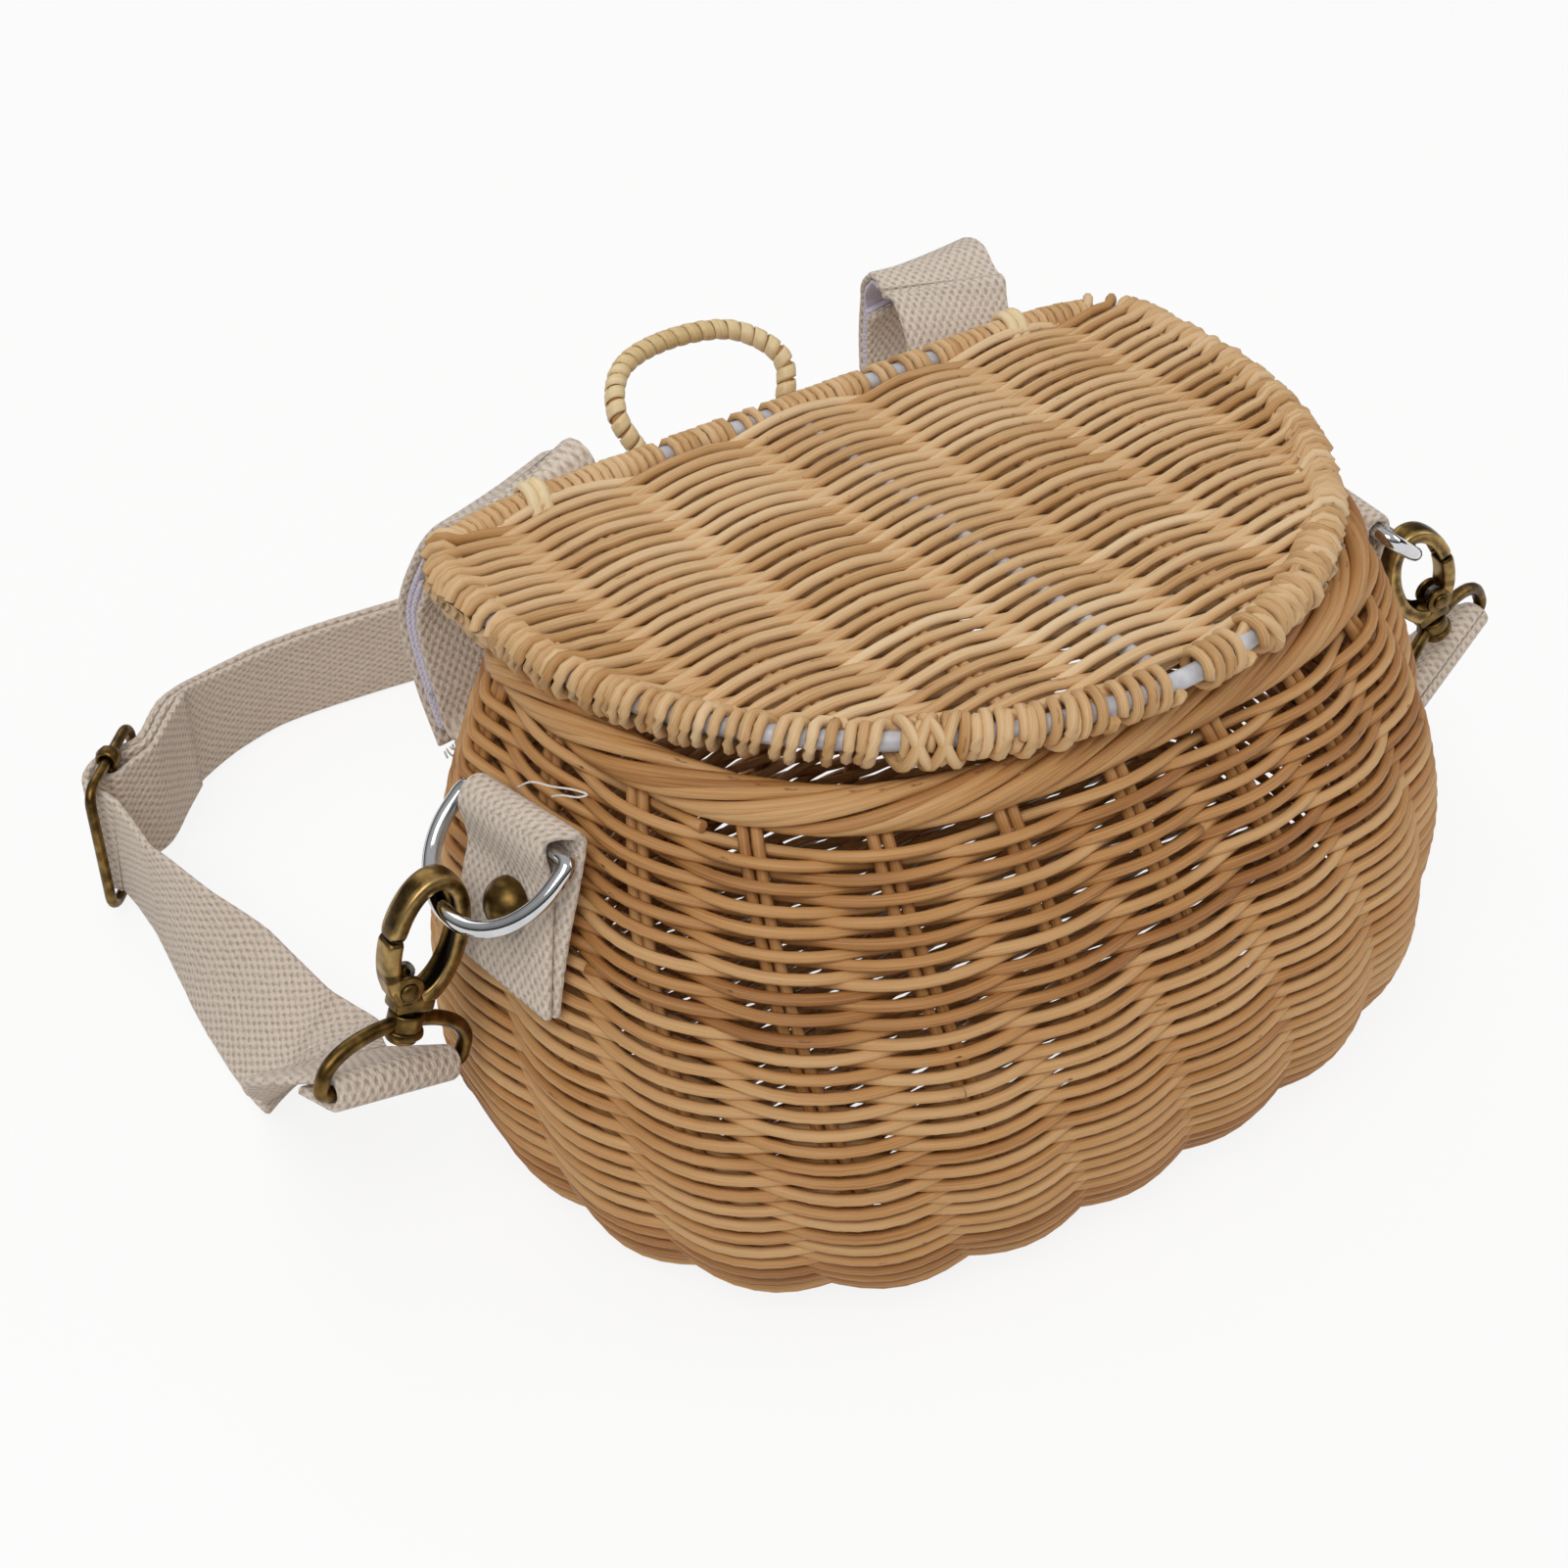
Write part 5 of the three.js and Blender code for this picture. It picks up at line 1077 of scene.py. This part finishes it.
def hang_bar_strap(side):
    """A flap with hook tape, closed on the loop tape of a webbing that passes through the wall."""
    name = SIDES[side]
    hook_step = WEB_THICK / 2 + CLEAR + TAPE_THICK / 2
    loop_step = hook_step + TAPE_THICK + CLEAR
    fixed_step = loop_step + TAPE_THICK / 2 + 2 * CLEAR + WEB_THICK / 2
    flap = spline(FLAP[side], 12)
    inner = -WALL - 3 * CLEAR - WEB_THICK
    start = unit(flap[1] - flap[0])
    fixed = spline(np.vstack([
        inside_of(flap, TAPE_FROM, TAPE_TO, fixed_step, 6), RETURN[side],
        [(0, SLOT_LOW), (-WALL / 2, SLOT_LOW + 0.5)],
        [(inner, SLOT_LOW + 4), (inner - 0.6, (SLOT_LOW + SLOT_HIGH) / 2), (inner, SLOT_HIGH - 4.5)],
        [(-WALL / 2, SLOT_HIGH - 0.5), (0, SLOT_HIGH + 1)], REACH[side],
        [flap[0] - start * 2 * WEB_THICK, flap[0] - start * CLEAR],
    ]), 6)
    web = rounded(WEB_WIDTH, WEB_THICK, 0.75, 3)
    strip = rounded(TAPE_WIDTH, TAPE_THICK, 0.5, 2)
    rows = bar_rows(side, respaced(flap, 60))
    made = piece(f"bar_flap_webbing_{name}", [sweep(rows[:, :3], rows[:, 3:], web)], webbing, f"flap_{name}")
    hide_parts(f"bar_flap_{name}")
    fray(f"bar_flap_fray_{name}", rows, f"flap_{name}")
    rows = bar_rows(side, respaced(fixed, 120))
    made = piece(f"bar_strap_webbing_{name}", [sweep(rows[:, :3], rows[:, 3:], web)], webbing, "basket")
    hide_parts(f"bar_strap_{name}")
    for kind, step, body, low, high in (("hook", hook_step, f"flap_{name}", LINING_FROM, LINING_TO),
                                        ("loop", loop_step, "basket", TAPE_FROM, TAPE_TO)):
        rows = bar_rows(side, inside_of(flap, low, high, step, 40))
        made = piece(f"{kind}_tape_pile_{name}", [sweep(rows[:, :3], rows[:, 3:], strip)], tape, body)
        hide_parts(f"{kind}_tape_{name}")


def fray(name, rows, body):
    """Loose yarn ends at a cut end of webbing."""
    end, width = rows[-1, :3], rows[-1, 3:]
    along = unit(rows[-1, :3] - rows[-3, :3])
    out = np.cross(along, width)
    tubes = []
    for u in np.linspace(-WEB_WIDTH / 2 + 0.6, WEB_WIDTH / 2 - 0.6, 34):
        t = np.linspace(0, 1, 5)[:, None]
        bend = rng.normal(0, 0.8, 2)
        line = end + (u + bend[0] * t ** 2) * width + rng.uniform(-0.5, 0.5) * out
        line = line + (rng.uniform(0.6, 2.4) * t - 0.4) * along + bend[1] * t ** 2 * out
        tubes.append(sweep(line, width, oval(0.5, 0.5, 5)))
    piece(name, tubes, thread, body)


# Tabs and metal

def fold_tab(side):
    """Webbing folded over the D-ring's bar, its front layer pinched beside the ring."""
    def hug(z):
        return -0.8 * HUG * z * z
    route = [(FRONT_LAYER + hug(z), z, pinch) for z, pinch in
             [(-TAB_DOWN, 0), (-TAB_DOWN / 2, 0.3), (0, 0.7), (RIVET_HEAD + CLEAR, 1)]]
    route.append((RING_BAR_X + TAB_FOLD * 0.97, RING_BAR_Z - 2, 1))
    for k in range(7):
        angle = k * math.pi / 6
        route.append((RING_BAR_X + TAB_FOLD * math.cos(angle), RING_BAR_Z + TAB_FOLD * math.sin(angle),
                      max(0, 1 - k / 3)))
    route += [(BACK_LAYER + hug(z), z, 0) for z in (RING_BAR_Z / 2, 0, -TAB_DOWN / 2, -TAB_DOWN)]
    line = respaced(spline(route, 8), 90)
    section = np.repeat(rounded(WEB_WIDTH, WEB_THICK, 0.75, 3)[None], len(line), 0)
    section[..., 0] -= TAB_PINCH * np.clip(line[:, 2:], 0, 1) * (section[..., 0] > 0)
    path = np.stack([line[:, 0], np.zeros(len(line)), line[:, 1]], -1)
    rings, closed = sweep(path, BACK, section)
    # the tab leans back towards its fold, which slants
    rise = np.clip((rings[..., 2] + TAB_DOWN) / (TAB_DOWN + RING_BAR_Z), 0, 1)
    rings[..., 1] -= TAB_LEAN[side] * rise
    rings[..., 2] += (0.6 * TAB_LEAN[side] + TAB_SLANT[side] * rings[..., 1]) * rise
    tube = set_in((rings, closed), tab_frame(side))
    made = piece(f"tab_webbing_{SIDES[side]}", [tube], webbing, "basket")
    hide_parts(f"tab_{SIDES[side]}")
    if side < 0:
        stray = sweep(spline(STRAY, 8), ACROSS + 0.1 * BACK, oval(STRAY_THREAD, STRAY_THREAD, 5))
        piece("tab_stray_thread", [set_in(stray, tab_frame(side))], thread, "basket")


def only(obj):
    bpy.ops.object.select_all(action="DESELECT")
    obj.select_set(True)
    bpy.context.view_layer.objects.active = obj


def turned_bar(radius, low, high, edge, flare=1.0):
    """A round bar up the third axis with bevelled ends, its lower end flared."""
    bpy.ops.object.select_all(action="DESELECT")
    bpy.ops.mesh.primitive_cylinder_add(vertices=32, radius=radius * MM, depth=(high - low) * MM,
                                        location=(0, 0, (low + high) / 2 * MM))
    bar = bpy.context.object
    bpy.ops.object.transform_apply()
    bpy.ops.object.mode_set(mode="EDIT")
    bpy.ops.mesh.select_all(action="DESELECT")
    bpy.ops.object.mode_set(mode="OBJECT")
    for face in bar.data.polygons:
        face.select = face.normal.z < -0.9
    bpy.ops.object.mode_set(mode="EDIT")
    bpy.ops.transform.resize(value=(flare, flare, 1))
    bpy.ops.object.mode_set(mode="OBJECT")
    bevel = bar.modifiers.new("edge", "BEVEL")
    bevel.width = edge * MM
    bevel.segments = 3
    bevel.limit_method = "ANGLE"
    bpy.ops.object.modifier_apply(modifier="edge")
    return bar


def domed_head(radius, rise, at):
    """A domed head standing on the plane at a height."""
    bpy.ops.object.select_all(action="DESELECT")
    bpy.ops.mesh.primitive_uv_sphere_add(segments=32, ring_count=16, radius=radius * MM)
    head = bpy.context.object
    bpy.ops.object.mode_set(mode="EDIT")
    bpy.ops.mesh.select_all(action="SELECT")
    bpy.ops.mesh.bisect(plane_co=(0, 0, 0), plane_no=(0, 0, 1), use_fill=True, clear_inner=True)
    bpy.ops.mesh.select_all(action="SELECT")
    bpy.ops.transform.resize(value=(1, 1, rise / radius), center_override=(0, 0, 0))
    bpy.ops.transform.translate(value=(0, 0, at * MM))
    bpy.ops.object.mode_set(mode="OBJECT")
    return head


def block(size, middle, edge):
    """A block with rounded edges."""
    bpy.ops.object.select_all(action="DESELECT")
    bpy.ops.mesh.primitive_cube_add(size=MM, location=Vector(middle) * MM)
    made = bpy.context.object
    made.scale = size
    bpy.ops.object.transform_apply()
    bevel = made.modifiers.new("edge", "BEVEL")
    bevel.width = edge * MM
    bevel.segments = 3
    bpy.ops.object.modifier_apply(modifier="edge")
    return made


def assemble(name, parts, place, finish, body):
    """Joins modelled parts into one piece at its place."""
    only(parts[0])
    for part in parts:
        part.select_set(True)
    bpy.ops.object.join()
    made = bpy.context.object
    made.name = made.data.name = name
    metres = place.copy()
    metres.translation = place.translation * MM
    made.data.transform(metres)
    bpy.ops.object.shade_smooth_by_angle(angle=math.radians(40))
    made.data.materials.clear()
    made.data.materials.append(finish)
    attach(made, body)
    return made


def bend_wire(name, points, radius, finish, body):
    """A closed ring of round wire."""
    curve = bpy.data.curves.new(name, "CURVE")
    curve.dimensions = "3D"
    curve.bevel_depth = radius * MM
    curve.bevel_resolution = 4
    line = curve.splines.new("POLY")
    line.points.add(len(points) - 1)
    weighted = np.hstack([points * MM, np.ones((len(points), 1))])
    line.points.foreach_set("co", weighted.astype(np.float32).ravel())
    line.use_cyclic_u = True
    made = bpy.data.objects.new(name, curve)
    bpy.context.scene.collection.objects.link(made)
    only(made)
    bpy.ops.object.convert(target="MESH")
    made = bpy.context.object
    made.name = made.data.name = name
    bpy.ops.object.shade_smooth()
    made.data.materials.clear()
    made.data.materials.append(finish)
    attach(made, body)
    return made


def d_outline(half, straight, depth, corner):
    """A D: its bar along the first axis at 0, its bow below."""
    quarter = np.linspace(0, np.pi / 2, 7)
    bow = np.linspace(0, np.pi, 49)
    right = np.stack([half - corner + corner * np.sin(quarter), corner * (np.cos(quarter) - 1)], -1)
    low = np.stack([half * np.cos(bow), -straight - (depth - straight) * np.sin(bow)], -1)
    return np.vstack([right, low, right[::-1] * (-1, 1)])


def set_rivet(side):
    stand = tab_frame(side) @ Matrix.Rotation(math.pi / 2, 4, "Y")
    inside = -WALL - 2.5
    parts = [
        domed_head(RIVET_HEAD + 0.2, RIVET_DOME, TAB_OUT + 0.6),
        turned_bar(RIVET_HEAD, TAB_OUT + 0.05, TAB_OUT + 0.75, 0.25),
        turned_bar(RIVET_SHANK, inside, TAB_OUT + 0.4, 0.2),
        turned_bar(RIVET_TAIL, inside - 0.8, inside, 0.3),
    ]
    made = assemble(f"rivet_brass_{SIDES[side]}", parts, stand, brass, "basket")
    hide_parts(f"rivet_{SIDES[side]}")


def hang_ring(side):
    outline = d_outline(RING_HALF, RING_STRAIGHT, RING_DEPTH, RING_CORNER)
    points = np.stack([np.zeros(len(outline)), outline[:, 0], outline[:, 1]], -1)
    name = SIDES[side]
    made = bend_wire(f"ring_wire_{name}", placed(points, ring_frame(side)), RING_WIRE, chrome, f"ring_{name}")
    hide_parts(f"d_ring_{name}")


# the hook's band: crowned outside, hollow inside, its edges rubbed bright and its hollow darkened with
# painted shade
BAND = np.array([(1.15, -2.75), (1.5, -2.3), (1.72, -1.1), (1.75, 0), (1.72, 1.1), (1.5, 2.3), (1.15, 2.75),
                 (-0.2, 2.8), (-1.25, 2.75), (-1.6, 2.35), (-1.3, 1.95), (-0.35, 1.6), (-0.3, 0),
                 (-0.35, -1.6), (-1.3, -1.95), (-1.6, -2.35), (-1.25, -2.75), (-0.2, -2.8)])
BAND_WEAR_AND_SHADE = np.array([0.75, 0.75, 0.3, 0.15, 0.3, 0.75, 0.75, 0.25, 0.6, 0.7, 0.1, -0.8, -0.9, -0.8, 0.1, 0.7,
                      0.6, 0.25])


def hook_line(angles):
    """Points of the hook's oval and the directions out of it."""
    half, tall = HOOK_OVAL
    flat = np.zeros(len(angles))
    points = np.stack([half * np.cos(angles), flat, HOOK_MIDDLE + tall * np.sin(angles)], -1)
    return points, unit(np.stack([np.cos(angles) / half, flat, np.sin(angles) / tall], -1))


def gate_frame(side):
    """At the gate's rivet, third axis along it."""
    at = Matrix.Translation((GATE_PIVOT[0], 0, GATE_PIVOT[1]))
    return hook_frame(side) @ at @ Matrix.Rotation(math.pi / 2, 4, "X")


def snap_hook(side):
    """A trigger hook: a hollow band bent to an oval, a foot with a swivel stem and the gate's rivet."""
    name = SIDES[side]
    place = hook_frame(side)
    line, out = hook_line(np.radians(np.linspace(175, -78, 64)))
    band = np.repeat(BAND[None], 64, 0)
    # the band's free end is cut slanting, and its other end thickens into the foot
    band[:2, :, 1] *= np.array([0.8, 0.95])[:, None]
    band[-14:] *= np.linspace(1, 1.25, 14)[:, None, None] * (1, 0) + (0, 1)
    tube = set_in(sweep(line, out, band), place)
    made = piece(f"hook_band_{name}", [tube], brass, f"hook_{name}", [BAND_WEAR_AND_SHADE])
    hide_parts(f"hook_body_{name}")
    foot = [
        block((8.6, HOOK_WIDE, 3.8), (0.2, 0, 2.1), 0.9),
        turned_bar(2, -COLLAR_TALL - 1.9, 1, 0.2),
        turned_bar(3.2, -COLLAR_TALL - 1.9, -COLLAR_TALL - 0.6, 0.5),
    ]
    assemble(f"hook_foot_{name}", foot, place, brass, f"hook_{name}")
    pin = turned_bar(PIN, -HOOK_WIDE / 2, HOOK_WIDE / 2, 0.1)
    high, low = [domed_head(PIN_HEAD, 0.9, HOOK_WIDE / 2 + 0.15) for _ in range(2)]
    low.data.transform(Matrix.Rotation(math.pi, 4, "X"))
    made = assemble(f"gate_rivet_{name}", [pin, high, low], gate_frame(side), brass, f"hook_{name}")
    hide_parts(f"gate_pin_{name}")


def hang_gate(side):
    """The hook's gate: a solid lever that carries the oval on, with a cheek at each side of the rivet."""
    name = SIDES[side]
    line, out = hook_line(np.radians(np.linspace(177.5, 246, 20)))
    lever = np.repeat(rounded(HOOK_BAND + 0.3, HOOK_WIDE, 1.2, 4)[None], 20, 0)
    lever[:2] *= np.array([0.9, 1.0])[:, None, None]
    edge = np.where(np.abs(lever[5, :, 1]) > 1.9, 0.6, 0.2)
    tube = set_in(sweep(line, out, lever), hook_frame(side))
    made = piece(f"gate_lever_{name}", [tube], brass, f"gate_{name}", [edge])
    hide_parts(f"hook_gate_{name}")
    cheeks = [turned_bar(GATE_CHEEK, low, low + GATE_CHEEK_THICK, 0.35)
              for low in (-HOOK_WIDE / 2, HOOK_WIDE / 2 - GATE_CHEEK_THICK)]
    assemble(f"gate_cheeks_{name}", cheeks, gate_frame(side), brass, f"gate_{name}")


def hang_strap_loop(side):
    name = SIDES[side]
    place = loop_frame(side)
    top = -COLLAR_TALL / 2 - CLEAR
    outline = d_outline(LOOP_WIDE, LOOP_STRAIGHT, LOOP_BAR + top, LOOP_CORNER)
    points = np.stack([outline[:, 0], np.zeros(len(outline)), -LOOP_BAR - outline[:, 1]], -1)
    made = bend_wire(f"strap_loop_wire_{name}", placed(points, place), LOOP_WIRE, brass, "basket")
    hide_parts(f"strap_loop_{name}")
    parts = [turned_bar(COLLAR - 0.4, -COLLAR_TALL - CLEAR + 0.9, -CLEAR, 0.5),
             turned_bar(COLLAR, -COLLAR_TALL - CLEAR, -COLLAR_TALL - CLEAR + 1.4, 0.4, 1.06)]
    assemble(f"strap_loop_collar_{name}", parts, place, brass, "basket")


def thread_slider():
    """A wire frame with a middle bar, whose flattened ends are curled round the frame."""
    place = Matrix.Translation(SLIDER_AT) @ Matrix.Rotation(SLIDER_HEADING, 4, "Z")
    quarter = np.linspace(0, np.pi / 2, 7)
    long, tall = SLIDER_HALF - SLIDER_CORNER, SLIDER_TALL - SLIDER_CORNER
    ring = []
    for k, (sx, sz) in enumerate([(1, 1), (-1, 1), (-1, -1), (1, -1)]):
        turn = quarter + k * np.pi / 2
        ring.append(np.stack([sx * long + SLIDER_CORNER * np.cos(turn), np.zeros(7),
                              sz * tall + SLIDER_CORNER * np.sin(turn)], -1))
    made = bend_wire("slider_wire", placed(np.vstack(ring), place), SLIDER_WIRE, brass, "basket")
    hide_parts("slider_frame")
    curl = SLIDER_WIRE + 0.15 + SLIDER_CURL
    turn = np.radians(np.linspace(-100, 235, 22))
    top = np.stack([np.zeros(22), curl * np.cos(turn), SLIDER_TALL + curl * np.sin(turn)], -1)
    line = np.vstack([top[::-1], top * (1, 1, -1)])
    flat = np.concatenate([np.linspace(1, 0.35, 22), np.linspace(0.35, 1, 22)])
    wide = 2 * SLIDER_WIRE + 1.4 * flat
    thick = 2 * SLIDER_WIRE - 1.1 * flat
    section = oval(1, 1, 12)[None] * np.stack([wide, thick], -1)[:, None]
    tube = set_in(sweep(respaced(line, 44), ACROSS, section), place)
    made = piece("slider_middle_bar", [tube], brass, "basket", [0.2])
    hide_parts("slider_bar")


def bend_lid_wire():
    made = bend_wire("lid_wire", lid_wire(160), LID_WIRE, coated_wire, "lid")
    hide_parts("lid_frame")


# Stage, light and camera

def lay_floor():
    """White paper; rays that see it find it nearly white, and the object's shadow stays on it."""
    bpy.ops.object.select_all(action="DESELECT")
    bpy.ops.mesh.primitive_plane_add(size=6, location=(0, 0, -0.0005))
    floor = bpy.context.object
    floor.name = "floor"
    paper, tree, shader = new_finish("white_paper", Roughness=0.9)
    shader.inputs["Base Color"].default_value = linear("#f6f5f3")
    path = add(tree, "ShaderNodeLightPath", {}).outputs
    seen = path["Is Camera Ray"]
    for kind in ("Is Glossy Ray", "Is Transmission Ray"):
        seen = add(tree, "ShaderNodeMath", {0: seen, 1: path[kind]}, operation="MAXIMUM").outputs[0]
    share = add(tree, "ShaderNodeMath", {0: seen, 1: PAPER_GLOW}, operation="MULTIPLY").outputs[0]
    white = add(tree, "ShaderNodeEmission", {"Color": (1, 1, 1, 1), "Strength": 1.0}).outputs[0]
    both = add(tree, "ShaderNodeMixShader", {0: share, 1: shader.outputs[0], 2: white}).outputs[0]
    tree.links.new(both, tree.nodes["Material Output"].inputs["Surface"])
    floor.data.materials.append(paper)


def light_studio():
    """A soft room, pale overhead and dark at its horizon, a big lamp over the front left and two weak ones
    at the right and behind."""
    scene = bpy.context.scene
    scene.view_settings.view_transform = "Standard"
    world = bpy.data.worlds.new("studio")
    scene.world = world
    world.use_nodes = True
    tree = world.node_tree
    place = add(tree, "ShaderNodeTexCoord", {}).outputs["Generated"]
    height = add(tree, "ShaderNodeSeparateXYZ", {0: place}).outputs[2]
    sky = stops(add(tree, "ShaderNodeValToRGB", {"Fac": height}),
                (0.0, linear("#383839")), (0.12, linear("#444445")), (0.35, linear("#b4b4b4")),
                (0.75, linear("#ffffff")))
    room = tree.nodes["Background"]
    room.inputs["Strength"].default_value = ROOM_LIGHT
    tree.links.new(sky.outputs["Color"], room.inputs["Color"])
    # straight to the eye the room is plain white
    seen = add(tree, "ShaderNodeLightPath", {}).outputs["Is Camera Ray"]
    white = add(tree, "ShaderNodeBackground", {"Color": (1, 1, 1, 1), "Strength": 1.0}).outputs[0]
    both = add(tree, "ShaderNodeMixShader", {0: seen, 1: room.outputs[0], 2: white}).outputs[0]
    tree.links.new(both, tree.nodes["World Output"].inputs["Surface"])
    for name, (at, size, power) in LAMPS.items():
        light = bpy.data.lights.new(name, "AREA")
        light.size = size
        light.energy = power
        lamp = bpy.data.objects.new(name, light)
        lamp.location = at
        lamp.rotation_euler = (Vector(LAMP_AIM) - Vector(at)).to_track_quat("-Z", "Y").to_euler()
        scene.collection.objects.link(lamp)


def stand_camera():
    camera = bpy.data.cameras.new("camera")
    camera.lens = CAMERA_LENS
    camera.sensor_width = 36
    camera.clip_start = 0.01
    eye = bpy.data.objects.new("camera", camera)
    look = (Vector(CAMERA_TO) - Vector(CAMERA_AT)).to_track_quat("-Z", "Y").to_matrix().to_4x4()
    place = Matrix.Translation(Vector(CAMERA_AT) * MM)
    eye.matrix_world = place @ look @ Matrix.Rotation(CAMERA_ROLL, 4, "Z")
    bpy.context.scene.collection.objects.link(eye)
    bpy.context.scene.camera = eye


stand_camera()
lay_strap()
weave_body()
stand_stakes()
plait_border()
weave_base()
bind_carry_loop()
weave_lid()
lay_ribs()
bend_lid_wire()
whip_back()
bind_front()
tie_hinges()
for side in SIDES:
    hang_bar_strap(side)
    fold_tab(side)
    set_rivet(side)
    hang_ring(side)
    snap_hook(side)
    hang_gate(side)
    hang_strap_loop(side)
thread_slider()
lay_floor()
light_studio()

# the few solids that stay; the rivets' washers are brass
KEPT_FINISH = {"lid_wire_rib": coated_wire}
for side in SIDES.values():
    KEPT_FINISH[f"gate_spring_{side}"] = spring_steel
for name, obj in nodes.items():
    if not obj.hide_render:
        obj.data.materials.clear()
        obj.data.materials.append(KEPT_FINISH.get(name, brass))
